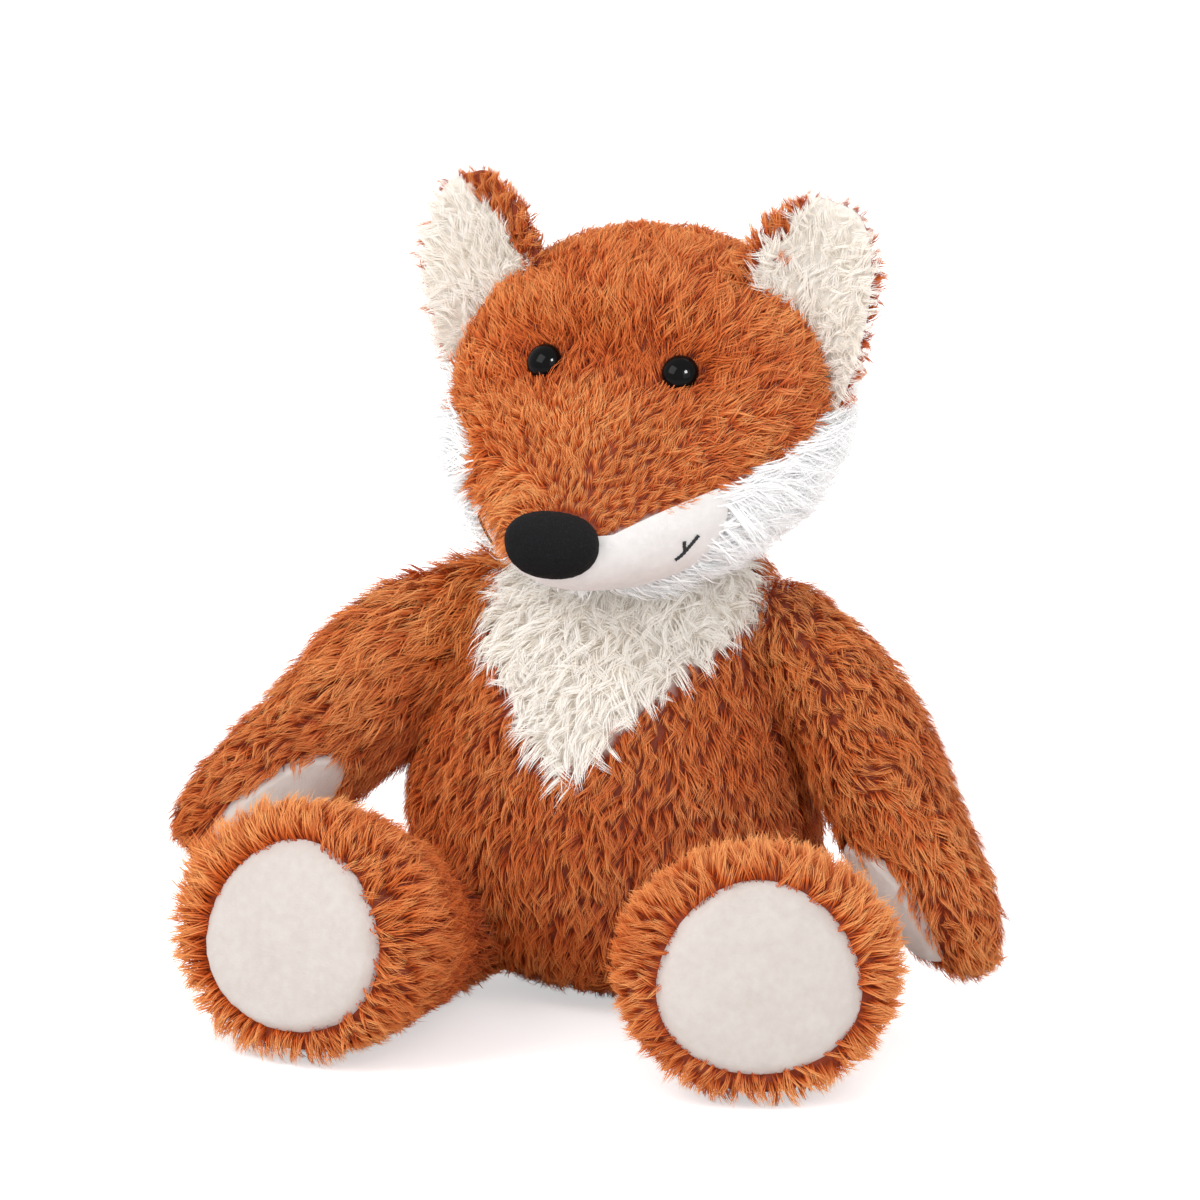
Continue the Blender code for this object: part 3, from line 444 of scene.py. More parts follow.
def newPiece(name, mesh, material, body, nodes=()):
    mesh.name = name
    mesh.materials.clear()
    mesh.materials.append(materials[material])
    obj = bpy.data.objects.new(name, mesh)
    scene.collection.objects.link(obj)
    if nodes:
        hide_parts(*nodes)
    if body:
        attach(obj, body)
    return obj


def dressed(name, mesh, place, body, nodes):
    # the knitted ground of a stuffed piece
    piece = newPiece(name, carried(mesh.copy(), place), "orangeBacking", body, nodes)


# a tuft is one unit long; its strands draw together and bend over towards the tip
tuftShapes = {
    "longTuft": {"segments": 3, "spread": 0.13, "pinch": 0.52, "width": 0.035, "bend": 0.50},
    "shortTuft": {"segments": 2, "spread": 0.19, "pinch": 0.50, "width": 0.043, "bend": 0.40},
}
strand = {
    "kinds": 9,
    "count": 11,
    "firstSeed": 40,
    "lengths": (0.72, 1.06),
    "bends": (0.7, 1.3),
    "widths": (0.8, 1.2),
    "drift": (0.05, 0.06),
    "facing": 0.6,
    "sag": 0.28,
    "tintEdge": 0.03,
}


def tuftMesh(name, shape, seed):
    # strands that rise along Z and bend over towards X
    pick = random.Random(seed)
    segments, edge = shape["segments"], strand["tintEdge"]
    places, faces, map2d = [], [], []
    for _ in range(strand["count"]):
        angle = pick.uniform(0, 2 * math.pi)
        out = shape["spread"] * math.sqrt(pick.random())
        root = Vector((out * math.cos(angle), out * math.sin(angle), 0))
        length = pick.uniform(*strand["lengths"])
        bend = shape["bend"] * pick.uniform(*strand["bends"])
        drift = Vector((pick.gauss(0, strand["drift"][0]), pick.gauss(0, strand["drift"][1]), 0))
        facing = pick.gauss(0, strand["facing"])
        across = Vector((math.sin(facing), math.cos(facing), 0))
        width = shape["width"] * pick.uniform(*strand["widths"])
        tint = pick.random()
        rows = []
        for step in range(segments + 1):
            t = step / segments
            hold = 1 - (1 - shape["pinch"]) * t
            middle = Vector((root.x * hold, root.y * hold, 0)) + drift * t
            middle += Vector((bend * t * t * length, 0, length * t * (1 - strand["sag"] * t)))
            half = width / 2 * (0.75 + 0.6 * t - 1.35 * t * t)
            if step == segments:
                rows.append([len(places)])
                places.append(middle)
            else:
                rows.append([len(places), len(places) + 1])
                places += [middle - across * half, middle + across * half]
        for step in range(segments):
            low, high = step / segments, (step + 1) / segments
            near, far = rows[step], rows[step + 1]
            if len(far) == 2:
                faces.append((near[0], near[1], far[1], far[0]))
                map2d += [(tint - edge, low), (tint + edge, low), (tint + edge, high), (tint - edge, high)]
            else:
                faces.append((near[0], near[1], far[0]))
                map2d += [(tint - edge, low), (tint + edge, low), (tint, high)]
    mesh = bpy.data.meshes.new(name)
    mesh.from_pydata(places, [], faces)
    layer = mesh.uv_layers.new(name="strand")
    layer.data.foreach_set("uv", np.array(map2d, np.float32).ravel())
    mesh.shade_smooth()
    return mesh


tufts = {}
for family, shape in tuftShapes.items():
    tufts[family] = bpy.data.collections.new(family)
    for kind in range(strand["kinds"]):
        name = f"{family}{kind}"
        tuft = bpy.data.objects.new(name, tuftMesh(name, shape, strand["firstSeed"] + kind))
        tufts[family].objects.link(tuft)


# how the pile's map is shared out: tint across, height up the strand, with a thin margin all round
bakeMap = {"tuft": 0.62, "strand": 0.30, "left": 0.04, "height": 0.96, "foot": 0.02, "bounds": (0.01, 0.99)}


def pileTree():
    tree = bpy.data.node_groups.new("plushPile", "GeometryNodeTree")
    face = tree.interface
    face.new_socket("Geometry", in_out="OUTPUT", socket_type="NodeSocketGeometry")
    for kind, names in (
        ("Geometry", ("Skin",)),
        ("Collection", ("Tufts",)),
        ("Float", ("Spacing", "Density", "Tilt", "Spin", "Unevenness", "Tint Spread")),
        ("Int", ("Kinds", "Seed")),
        ("Material", ("Material",)),
    ):
        for name in names:
            face.new_socket(name, in_out="INPUT", socket_type=f"NodeSocket{kind}")
    bench = Bench(tree)
    inputs = tree.nodes.new("NodeGroupInput")
    given = {socket.name: Wire(tree, socket) for socket in inputs.outputs if socket.name}

    def stored(name, kind="FLOAT"):
        return bench.add("GeometryNodeInputNamedAttribute", {"data_type": kind}, {"Name": name})

    def eitherWay(amount, seed):
        # a number between minus and plus the amount, drawn for each tuft
        sockets = {2: given[amount] * -1.0, 3: given[amount], 8: given["Seed"] + seed}
        return bench.add("FunctionNodeRandomValue", {"data_type": "FLOAT"}, sockets, 1)

    sockets = {
        "Mesh": given["Skin"],
        "Distance Min": given["Spacing"],
        "Density Max": given["Density"],
        "Density Factor": stored("cover"),
        "Seed": given["Seed"],
    }
    settings = {"distribute_method": "POISSON"}
    points = bench.add("GeometryNodeDistributePointsOnFaces", settings, sockets)
    settings = {"primary_axis": "Z", "secondary_axis": "X"}
    rise, comb = stored("rise", "FLOAT_VECTOR"), stored("comb", "FLOAT_VECTOR")
    sockets = {"Primary Axis": rise, "Secondary Axis": comb}
    seat = bench.add("FunctionNodeAxesToRotation", settings, sockets)
    # spin first, about the skin's normal, and then the lean over along the comb
    lean = stored("lean") + eitherWay("Tilt", 12)
    angles = {"X": eitherWay("Tilt", 11), "Y": lean, "Z": eitherWay("Spin", 13)}
    lean = bench.add("ShaderNodeCombineXYZ", {}, angles)
    lean = bench.add("FunctionNodeEulerToRotation", {}, {"Euler": lean})
    sockets = {"Rotation": seat, "Rotate By": lean}
    seat = bench.add("FunctionNodeRotateRotation", {"rotation_space": "LOCAL"}, sockets)
    settings = {"data_type": "FLOAT", "domain": "POINT"}
    shade = stored("shade") + eitherWay("Tint Spread", 15)
    sockets = {"Geometry": points, "Name": "tuftTint", "Value": shade}
    tinted = bench.add("GeometryNodeStoreNamedAttribute", settings, sockets)
    sockets = {4: 0, 5: given["Kinds"] - 1, 8: given["Seed"] + 16}
    kind = bench.add("FunctionNodeRandomValue", {"data_type": "INT"}, sockets, 2)
    sockets = {"Collection": given["Tufts"], "Separate Children": True, "Reset Children": True}
    sockets = {
        "Points": tinted,
        "Instance": bench.add("GeometryNodeCollectionInfo", {}, sockets),
        "Pick Instance": True,
        "Instance Index": kind,
        "Rotation": seat,
        "Scale": stored("pile") * (1.0 + eitherWay("Unevenness", 14)),
    }
    grown = bench.add("GeometryNodeInstanceOnPoints", {}, sockets)
    grown = bench.add("GeometryNodeRealizeInstances", {}, {"Geometry": grown})
    across = bench.add("ShaderNodeSeparateXYZ", {}, {"Vector": stored("strand", "FLOAT_VECTOR")})
    tint = stored("tuftTint") * bakeMap["tuft"] + across * bakeMap["strand"] + bakeMap["left"]
    least, most = bakeMap["bounds"]
    tint = bench.add("ShaderNodeClamp", {}, {"Value": tint, "Min": least, "Max": most})
    height = across.beside(1) * bakeMap["height"] + bakeMap["foot"]
    place = bench.add("ShaderNodeCombineXYZ", {}, {"X": tint, "Y": height})
    settings = {"data_type": "FLOAT2", "domain": "CORNER"}
    sockets = {"Geometry": grown, "Name": "OFBake", "Value": place}
    grown = bench.add("GeometryNodeStoreNamedAttribute", settings, sockets)
    for name in ("strand", "tuftTint"):
        grown = bench.add("GeometryNodeRemoveAttribute", {}, {"Geometry": grown, "Name": name})
    grown = bench.add("GeometryNodeSetMaterial", {}, {"Geometry": grown, "Material": given["Material"]})
    bench.add("NodeGroupOutput", {}, {"Geometry": grown})
    return tree


pile = pileTree()
pileLook = {
    "tuft": "longTuft",
    "material": "orangePile",
    "spacing": 0.00145,
    "density": 1.6,  # points tried for each one that fits
    "tilt": 0.17,
    "spin": 0.60,
    "unevenness": 0.16,
    "tintSpread": 0.27,
    "floorGap": 0.0002,
    "pressed": 0.02,  # share of what would go through the floor that is kept, upwards
}
locks = {
    "aside": 0.0075,
    "fine": 0.006,
    "broad": 0.013,
    "fineLean": 0.6,
    "broadLean": 0.5,
    "broadLength": 0.35,
}


def combed(mesh, direction, lean, length, shade, cover, stray=0.55):
    # what the pile reads at each point of its skin; stray parts it into locks that lie unevenly
    places, normals = vectors(mesh, "co"), vectors(mesh, "normal")
    aside = np.stack([lumps(places, locks["aside"], seed) for seed in (41, 42, 43)], 1)
    comb = unit(flat(unit(np.broadcast_to(direction, places.shape)) + stray * aside, normals) + 1e-6)
    broad = lumps(places, locks["broad"], 45)
    fine = lumps(places, locks["fine"], 44)
    lean = lean + stray * (locks["fineLean"] * fine + locks["broadLean"] * broad)
    length = length * (1 + locks["broadLength"] * stray * broad)
    keepAttribute(mesh, "rise", normals)
    keepAttribute(mesh, "comb", comb)
    for name, values in (("lean", lean), ("pile", length), ("shade", shade), ("cover", cover)):
        keepAttribute(mesh, name, np.broadcast_to(values, len(places)))


def growPile(name, skin, place, changes, body, nodes):
    # the pile over a combed skin, with what its look changes in the common one
    look = {**pileLook, **changes}
    obj = bpy.data.objects.new(name, carried(skin.copy(), place))
    scene.collection.objects.link(obj)
    modifier = obj.modifiers.new("pile", "NODES")
    modifier.node_group = pile
    values = {
        "Tufts": tufts[look["tuft"]],
        "Spacing": look["spacing"],
        "Density": look["density"] / look["spacing"] ** 2,
        "Tilt": look["tilt"],
        "Spin": look["spin"],
        "Unevenness": look["unevenness"],
        "Tint Spread": look["tintSpread"],
        "Kinds": strand["kinds"],
        "Seed": look["seed"],
        "Material": materials[look["material"]],
    }
    for item in pile.interface.items_tree:
        if item.item_type == "SOCKET" and item.in_out == "INPUT" and item.name in values:
            modifier[item.identifier] = values[item.name]
    mesh = settled(obj)
    places = vectors(mesh, "co")
    pressed = look["floorGap"] + look["pressed"] * np.abs(np.minimum(places[:, 2], 0))
    places[:, 2] = np.maximum(places[:, 2], pressed)
    setPlaces(mesh, places)
    mesh.shade_smooth()
    newPiece(name, mesh, look["material"], body, nodes)
    triangles = sum(len(face.vertices) - 2 for face in mesh.polygons)
    print(f"plush fox: {name} has {triangles} triangles")


torso = {
    "width": 0.120,
    "depth": 0.100,
    "height": 0.130,
    "sway": -0.006,
    "sink": 0.0005,
    "neckZ": 0.118,
    "neckY": 0.018,
    "sideSeamY": 0.014,
    "bibTopWidth": 0.084,
    "bibTipZ": 0.064,
    "bibShoulderZ": 0.106,
    # height, width, front, back, and how far back the middle lies
    "shares": (
        (0.005, 0.62, 0.64, 0.64, 0.00),
        (0.09, 0.92, 0.93, 0.91, 0.00),
        (0.27, 1.00, 1.00, 0.98, 0.01),
        (0.45, 0.99, 0.97, 0.96, 0.03),
        (0.62, 0.90, 0.84, 0.90, 0.06),
        (0.77, 0.80, 0.68, 0.78, 0.11),
        (0.88, 0.68, 0.54, 0.62, 0.15),
        (0.96, 0.45, 0.38, 0.42, 0.18),
    ),
    "bibShares": ((0.0, 0.0), (0.12, 0.08), (0.34, 0.34), (0.68, 0.70), (1.0, 1.0), (1.04, 1.4)),
    "fill": 0.8,
    "flatBelow": 0.0015,
    "pileFrom": 0.004,
    "neckHole": (0.121, 0.124),
    "outward": 0.55,
    "pile": {"lean": 0.66, "length": 0.0086},
    "bibPile": {"lean": 0.62, "length": 0.0098, "stray": 0.8, "paler": 0.35},
    # painted shade: the front's pile is painted darker, standing in for the shade it casts on itself
    "frontPaintedShade": 0.32,
    # the front is painted darker still along its middle: painted shade in the groove where the pile of both
    # sides parts
    "grooveShade": {"paintedShade": 0.35, "width": 0.004, "fades": (0.03, 0.06)},
}


def sway(z):
    # how far to the side the torso's middle lies at each height
    height = z / torso["height"]
    return torso["sway"] * 4 * height * (1 - height)


def torsoForm():
    form = StuffedForm((1, 0, 0), (0, -1, 0), (0, 0, 1))
    halfDepth = torso["depth"] / 2
    for share, width, front, back, middle in torso["shares"]:
        z = share * torso["height"]
        centre = (sway(z), middle * torso["depth"], z - torso["sink"])
        form.ring(centre, width * torso["width"] / 2, front * halfDepth, back * halfDepth)
    top = torso["shares"][-1][4] * torso["depth"]
    form.close((0, 0, -2 * torso["sink"]), (0, top, torso["height"]))
    return form


def bibEdge(places):
    # how far inside the bib's outline each point lies, in the front view
    rise = torso["bibShoulderZ"] - torso["bibTipZ"]
    ups = [torso["bibTipZ"] + up * rise for _, up in torso["bibShares"]]
    halves = [across * torso["bibTopWidth"] / 2 for across, _ in torso["bibShares"]]
    half = np.interp(places[:, 2], ups, halves, left=-0.01)
    inside = half - np.abs(places[:, 0] - sway(places[:, 2]))
    return np.where(places[:, 1] < torso["sideSeamY"], inside, -1.0)


seamBlend = 0.001  # half the width over which the ground turns from orange to pale
torsoMesh = torsoForm().mesh("torsoSkin", cloth["backing"], 3)
places = vectors(torsoMesh, "co")
places[:, 2] = np.maximum(places[:, 2], torso["flatBelow"])
setPlaces(torsoMesh, places)
torsoBush = bushOf(torsoMesh)
inBib = bibEdge(places)
keepAttribute(torsoMesh, "pale", smoothStep(-seamBlend, seamBlend, inBib))
covered = (places[:, 2] > torso["pileFrom"]) * (1 - smoothStep(*torso["neckHole"], places[:, 2]))
front = places[:, 1] < torso["sideSeamY"]
tone = patches(places, 1)
outward = (places - np.array((0, torso["neckY"], 0))) * np.array((1, 1, 0))
down = np.array((0.0, 0.0, -1.0)) + torso["outward"] * unit(outward)
grooveShade = bell(places[:, 0] - sway(places[:, 2]), torso["grooveShade"]["width"])
grooveShade = grooveShade * (1 - smoothStep(*torso["grooveShade"]["fades"], places[:, 2]))
# painted shade on the front: darker overall and down its middle
frontTone = tone - torso["frontPaintedShade"] - torso["grooveShade"]["paintedShade"] * grooveShade
asDrawn = Matrix()
dressed("torso_skin", torsoMesh, asDrawn, "torso", ("torso_stuffing", "weighting_pouch"))
lean, length = torso["pile"].values()
look = {"spacing": 0.00157, "seed": 3}
combed(torsoMesh, down, lean, length, frontTone, (inBib < 0) * front * covered)
growPile("torso_front_fur", torsoMesh, asDrawn, look, "torso", ("torso_front_panel",))
combed(torsoMesh, down, lean, length, tone, ~front * covered)
growPile("torso_back_fur", torsoMesh, asDrawn, {**look, "seed": 5}, "torso", ("torso_back_panel",))
lean, length, stray, paler = torso["bibPile"].values()
look = {"material": "creamPile", "seed": 4, "tilt": 0.26, "spin": 1.0}
combed(torsoMesh, down, lean, length, tone + paler, (inBib >= 0) * covered, stray)
growPile("chest_bib_fur", torsoMesh, asDrawn, look, "torso", ("chest_bib",))
print("plush fox: torso dressed")


head = {
    "length": 0.122,
    "width": 0.113,
    "height": 0.095,
    "baseDrop": 0.006,
    "backY": 0.050,
    "turn": -3.0,
    "tilt": -1.0,
    "skinDepth": 0.0040,
    "fill": 0.9,
    "muzzleFrontRise": 0.022,
    "muzzleBackRise": 0.031,
    "muzzleLength": 0.034,
    "cheekBackY": 0.020,
    "cheekTopRise": 0.060,
    "eyeRadius": 0.0050,
    "eyeSpacing": 0.041,
    "eyeRise": 0.062,
    "eyeDome": 0.0036,
    "eyeFoot": 0.0030,
    "eyeProud": 0.0015,
    "eyeSunk": 0.0020,
    "noseWidth": 0.026,
    "noseHeight": 0.018,
    "noseHalfDepth": 0.0085,
    "noseRise": 0.012,
    # how far along, width, top and bottom
    "shares": (
        (0.05, 0.46, 0.76, 0.26),
        (0.17, 0.80, 0.93, 0.10),
        (0.34, 1.00, 1.00, 0.03),
        (0.51, 1.00, 0.94, 0.01),
        (0.64, 0.85, 0.71, 0.00),
        (0.77, 0.61, 0.47, 0.00),
        (0.89, 0.40, 0.345, 0.035),
        (0.965, 0.285, 0.285, 0.075),
    ),
    "endShares": (0.50, 0.18),
    # the face's swellings: how proud, at what height, half height and half width
    "barrel": (0.0038, 0.037, 0.011, 0.025),
    "stop": (0.0032, 0.058, 0.0065, 0.036),
    "brow": (0.0018, 0.073, 0.008, 0.036),
    "socket": {"depth": 0.0026, "radius": 0.0080},
    # the cheek on the head's right is combed up over the face
    "rightCheek": {"rise": 0.0045, "across": (-0.020, -0.010), "along": (-0.040, -0.032)},
    # the pile of the face hangs over the muzzle on the head's right
    "droop": {"across": (-0.009, -0.002), "along": (-0.040, -0.030), "seam": (0.004, 0.010)},
    "droopReach": 0.0055,
    "droopLength": 0.0030,
    "bareEye": 0.0036,
    "pile": {"length": 0.0080, "lean": 0.8},
    "cheekPile": {"length": 0.0155, "lean": 0.58, "stray": 0.4},
    "faceStray": 0.6,
    # lengths and leans grow with the distance from the nose's tip
    "facePile": {"length": 0.0052, "longer": 0.0034, "over": (0.02, 0.075)},
    "faceLean": {"lean": 0.62, "more": 0.25, "over": (0.02, 0.06)},
    # painted shade round the eyes
    "eyeTone": {"paintedShade": 1.1, "width": 0.0105},
    "noseTone": {"paler": 0.45, "edge": 0.014, "width": 0.016},
    # painted light on the barrel and painted shade in the stop, following the face's swellings
    "swellingLightAndShade": {"paler": 130, "stopShare": 1.4},
    "roundEyes": {"pull": 1.1, "width": 0.009},
    "ahead": (-0.02, 0.0),
    "underNose": {"share": 0.45, "depth": 0.015},
    "droopComb": (0, 0.3, -1.6),
    "backComb": (0, 0.1, -0.9),
    "cheekComb": (0.6, 0.1, -0.5),
    "noseSides": (64, 40),
    "eyeSides": (48, 32),
    "noseWedge": {"wider": 0.12, "square": (0.84, 0.88), "sag": 0.06, "back": 0.0035, "tilt": 10},
    "noseGrain": {"proud": 0.00016, "size": 0.0011},
}
headPlace = Matrix.Translation((0.0, torso["neckY"], torso["neckZ"]))
headPlace = headPlace @ turned(head["turn"], "Z") @ turned(head["tilt"], "Y")
base = -head["baseDrop"]
tip = head["backY"] - head["length"]
muzzleBack = tip + head["muzzleLength"]
frontSeam, backSeam = base + head["muzzleFrontRise"], base + head["muzzleBackRise"]


def headForm():
    form = StuffedForm((1, 0, 0), (0, 0, 1), (0, -1, 0))
    for along, width, top, bottom in head["shares"]:
        centre = (0.0, head["backY"] - along * head["length"], base + (top + bottom) / 2 * head["height"])
        form.ring(centre, width * head["width"] / 2, (top - bottom) / 2 * head["height"])
    rises = [share * head["height"] + base for share in head["endShares"]]
    form.close((0, head["backY"], rises[0]), (0, tip, rises[1]))
    return form


def onRight(look, places):
    # two shares of each point: 1 on the head's right side, and 1 behind its front
    return 1 - smoothStep(*look["across"], places[:, 0]), smoothStep(*look["along"], places[:, 1])


def headRegion(places):
    # how far inside the face, muzzle, cheek and back panels each point lies, in the side view
    y, z = places[:, 1], places[:, 2]
    corners = (-head["length"] / 2, muzzleBack, head["cheekBackY"])
    seam = np.interp(y, corners, (frontSeam, backSeam, base + head["cheekTopRise"]))
    right, behind = onRight(head["rightCheek"], places)
    seam = seam + head["rightCheek"]["rise"] * right * behind
    behindMuzzle, behindCheek = y - muzzleBack, y - head["cheekBackY"]
    return {
        "face": np.minimum(z - seam, -behindCheek),
        "muzzle": np.minimum(seam - z, -behindMuzzle),
        "cheek": np.minimum(np.minimum(seam - z, behindMuzzle), -behindCheek),
        "back": behindCheek,
    }


def droopOver(places):
    # where the pile of the face hangs over the muzzle
    right, behind = onRight(head["droop"], places)
    return right * (1 - behind)


outerHead = headForm().mesh("outerHead", 0.0, 2)
outerHeadBush = bushOf(outerHead)
eyeSeats = {}
for side, sign in bothSides:
    start = Vector((sign * head["eyeSpacing"] / 2, 0.0, head["eyeRise"] - head["baseDrop"]))
    place, normal, _, _ = outerHeadBush.ray_cast(start, Vector((0, -1, 0)))
    eyeSeats[side] = Matrix.Translation(place) @ normal.to_track_quat("Z", "Y").to_matrix().to_4x4()

headMesh = headForm().mesh("headSkin", head["skinDepth"], 4)
places, normals = vectors(headMesh, "co"), vectors(headMesh, "normal")
nearEye = np.full(len(places), 1.0)
awayFromEye = np.zeros_like(places)
for seat in eyeSeats.values():
    apart = places - np.array(seat.translation)
    distance = np.linalg.norm(apart, axis=1)
    awayFromEye += unit(apart) * bell(distance, head["roundEyes"]["width"])[:, None]
    nearEye = np.minimum(nearEye, distance)
ahead = 1 - smoothStep(*head["ahead"], places[:, 1])


def swelling(part):
    proud, height, halfHeight, halfWidth = head[part]
    return proud * np.exp(-(((places[:, 2] - height) / halfHeight) ** 2) - (places[:, 0] / halfWidth) ** 2)


barrel, stop, brow = swelling("barrel"), swelling("stop"), swelling("brow")
swell = (barrel + brow - stop) * ahead - head["socket"]["depth"] * bell(nearEye, head["socket"]["radius"])
setPlaces(headMesh, places + normals * swell[:, None])
places, normals = vectors(headMesh, "co"), vectors(headMesh, "normal")
regions = headRegion(places)
noseZ = head["noseRise"] - head["baseDrop"] + head["noseHeight"] / 2
noseTip = np.array((0.0, tip, noseZ))
fromNose = places - noseTip
noseReach = np.linalg.norm(fromNose, axis=1)
pale = smoothStep(-seamBlend, seamBlend, np.maximum(regions["muzzle"], regions["cheek"]))
keepAttribute(headMesh, "pale", pale)
tone = patches(places, 9)
dressed("head_skin", headMesh, headPlace, "head", ("head_stuffing",))

# the face: painted shade round the eyes and in the stop, painted light on the barrel, and paler over the
# nose
length, longer, over = head["facePile"].values()
faceLength = length + longer * smoothStep(*over, noseReach)
lean, more, over = head["faceLean"].values()
faceLean = lean + more * smoothStep(*over, noseReach)
faceShade = tone - head["eyeTone"]["paintedShade"] * bell(nearEye, head["eyeTone"]["width"])
paler, edge, width = head["noseTone"].values()
faceShade = faceShade + paler * bell(noseReach - edge, width)
paler, stopShare = head["swellingLightAndShade"].values()
faceShade = faceShade + paler * (barrel - stopShare * stop) * ahead
awayFromNose = (np.abs(places[:, 0]) / (head["noseWidth"] / 2)) ** 2
awayFromNose = awayFromNose + ((places[:, 2] - noseTip[2]) / (head["noseHeight"] / 2)) ** 2
share, depth = head["underNose"].values()
underNose = (awayFromNose < share) & (places[:, 1] < noseTip[1] + depth)
bare = (nearEye < head["bareEye"]) | underNose
droop = droopOver(places) * (1 - smoothStep(*head["droop"]["seam"], regions["face"]))
onFace = (regions["face"] > -head["droopReach"] * droop) & ~bare
radiating = unit(fromNose) + head["roundEyes"]["pull"] * awayFromEye
radiating = radiating + droop[:, None] * np.array(head["droopComb"])
faceLength = faceLength + head["droopLength"] * droop
look = {"tuft": "shortTuft", "spacing": 0.0012, "seed": 21, "tilt": 0.19, "spin": 0.68}
combed(headMesh, radiating, faceLean, faceLength, faceShade, onFace, head["faceStray"])
growPile("head_face_fur", headMesh, headPlace, look, "head", ("head_face_panel",))

length, lean = head["pile"].values()
overNeck = places[:, 2] > torso["pileFrom"] - head["baseDrop"]
backComb = unit(fromNose) + np.array(head["backComb"])
combed(headMesh, backComb, lean, length, tone, (regions["back"] >= 0) & overNeck)
growPile("head_back_fur", headMesh, headPlace, {"seed": 22}, "head", ("head_back_panel",))

length, lean, stray = head["cheekPile"].values()
for side, sign in bothSides:
    cheekComb = unit(fromNose) + np.array(head["cheekComb"]) * np.array((sign, 1, 1))
    here = (regions["cheek"] >= 0) & (places[:, 0] * sign > 0)
    look = {"material": "whitePile", "spacing": 0.0014, "seed": 24 + sign}
    look = {**look, "tilt": 0.2, "spin": 0.8, "unevenness": 0.1}
    combed(headMesh, cheekComb, lean, length, tone, here, stray)
    growPile(f"cheek_{side}_fur", headMesh, headPlace, look, "head", (f"cheek_{side}",))
print("plush fox: head dressed")


# the muzzle's sheet runs on a little under the plush beside it
muzzle = {
    "over": 0.0012,
    "thickness": 0.0015,
    "sunk": 0.0030,
    "sinksFrom": (-0.0065, -0.0040),
    "puffs": ((0.0005, 0.013, 4), (0.0002, 0.005, 5)),  # how proud, size and seed
}
work = bmesh.new()
work.from_mesh(headForm().mesh("muzzleSheet", cloth["shortDrop"], 5))
sheetBack = muzzleBack + muzzle["over"]
kink = (-head["length"] / 2, frontSeam + muzzle["over"])
far = (muzzleBack, backSeam + muzzle["over"])
slope = Vector((0, -(far[1] - kink[1]), far[0] - kink[0])).normalized()
for place, normal in (
    ((0, sheetBack, 0), (0, 1, 0)),
    ((0, 0, kink[1]), (0, 0, 1)),
    ((0, kink[0], kink[1]), slope),
):
    whole = work.verts[:] + work.edges[:] + work.faces[:]
    bmesh.ops.bisect_plane(work, geom=whole, dist=1e-7, plane_co=place, plane_no=normal)
outside = []
for face in work.faces:
    middle = face.calc_center_median()
    seamZ = np.interp(middle.y, (kink[0], far[0]), (kink[1], far[1]))
    if middle.y > sheetBack or middle.z > seamZ:
        outside.append(face)
bmesh.ops.delete(work, geom=outside, context="FACES")
muzzleMesh = poured(work, "muzzleSheet")
puff = vectors(muzzleMesh, "co")
puffNormals = vectors(muzzleMesh, "normal")
covered = droopOver(puff) * smoothStep(*muzzle["sinksFrom"], headRegion(puff)["face"])
swell = sum(proud * lumps(puff, size, seed) for proud, size, seed in muzzle["puffs"])
swell = swell - muzzle["sunk"] * covered
setPlaces(muzzleMesh, puff + puffNormals * swell[:, None])
muzzleMesh = worked(muzzleMesh, thickened(muzzle["thickness"]))
muzzleBush = bushOf(muzzleMesh)
newPiece("muzzle", carried(muzzleMesh, headPlace), "whiteVelboa", "head", ("muzzle_panel",))


def shapedBall(name, segments, place, change):
    # a ball of radius 1 whose points go where change() says
    work = bmesh.new()
    bmesh.ops.create_uvsphere(work, u_segments=segments[0], v_segments=segments[1], radius=1.0)
    for vertex in work.verts:
        vertex.co = change(*vertex.co)
    mesh = poured(work, name)
    mesh.transform(place)
    mesh.shade_smooth()
    return mesh


def noseSpot(x, y, z):
    # a plump rounded wedge, wider above than below
    wedge = head["noseWedge"]
    squareX, squareZ = wedge["square"]
    x = math.copysign(abs(x) ** squareX, x) * (1 + wedge["wider"] * z)
    z = math.copysign(abs(z) ** squareZ, z) - wedge["sag"] * x * x
    return x * head["noseWidth"] / 2, y * head["noseHalfDepth"], z * head["noseHeight"] / 2


def eyeSpot(x, y, z):
    return x * head["eyeRadius"], y * head["eyeRadius"], z * (head["eyeDome"] if z > 0 else head["eyeFoot"])


nosePlace = Matrix.Translation((0.0, noseTip[1] + head["noseWedge"]["back"], noseTip[2]))
nosePlace = nosePlace @ turned(head["noseWedge"]["tilt"], "X")
noseMesh = shapedBall("nose", head["noseSides"], nosePlace, noseSpot)
spots, around = vectors(noseMesh, "co"), vectors(noseMesh, "normal")
proud, size = head["noseGrain"].values()
setPlaces(noseMesh, spots + around * (proud * lumps(spots, size, 6))[:, None])
newPiece("nose_pad", carried(noseMesh, headPlace), "blackFlock", "head", ("nose",))

mouth = {
    "radius": 0.00048,
    "proud": 0.35,
    "sides": 10,
    "twist": 0.9,
    "ply": 0.16,
    "plyTurn": 0.55,
    # how far behind the tip and how far up from the chin to the seam
    "line": ((0.74, 0.37), (0.77, 0.42), (0.80, 0.49), (0.825, 0.55), (0.85, 0.61)),
    "tick": ((0.785, 0.46), (0.765, 0.51), (0.757, 0.56)),
    "seamRoom": 0.003,
}


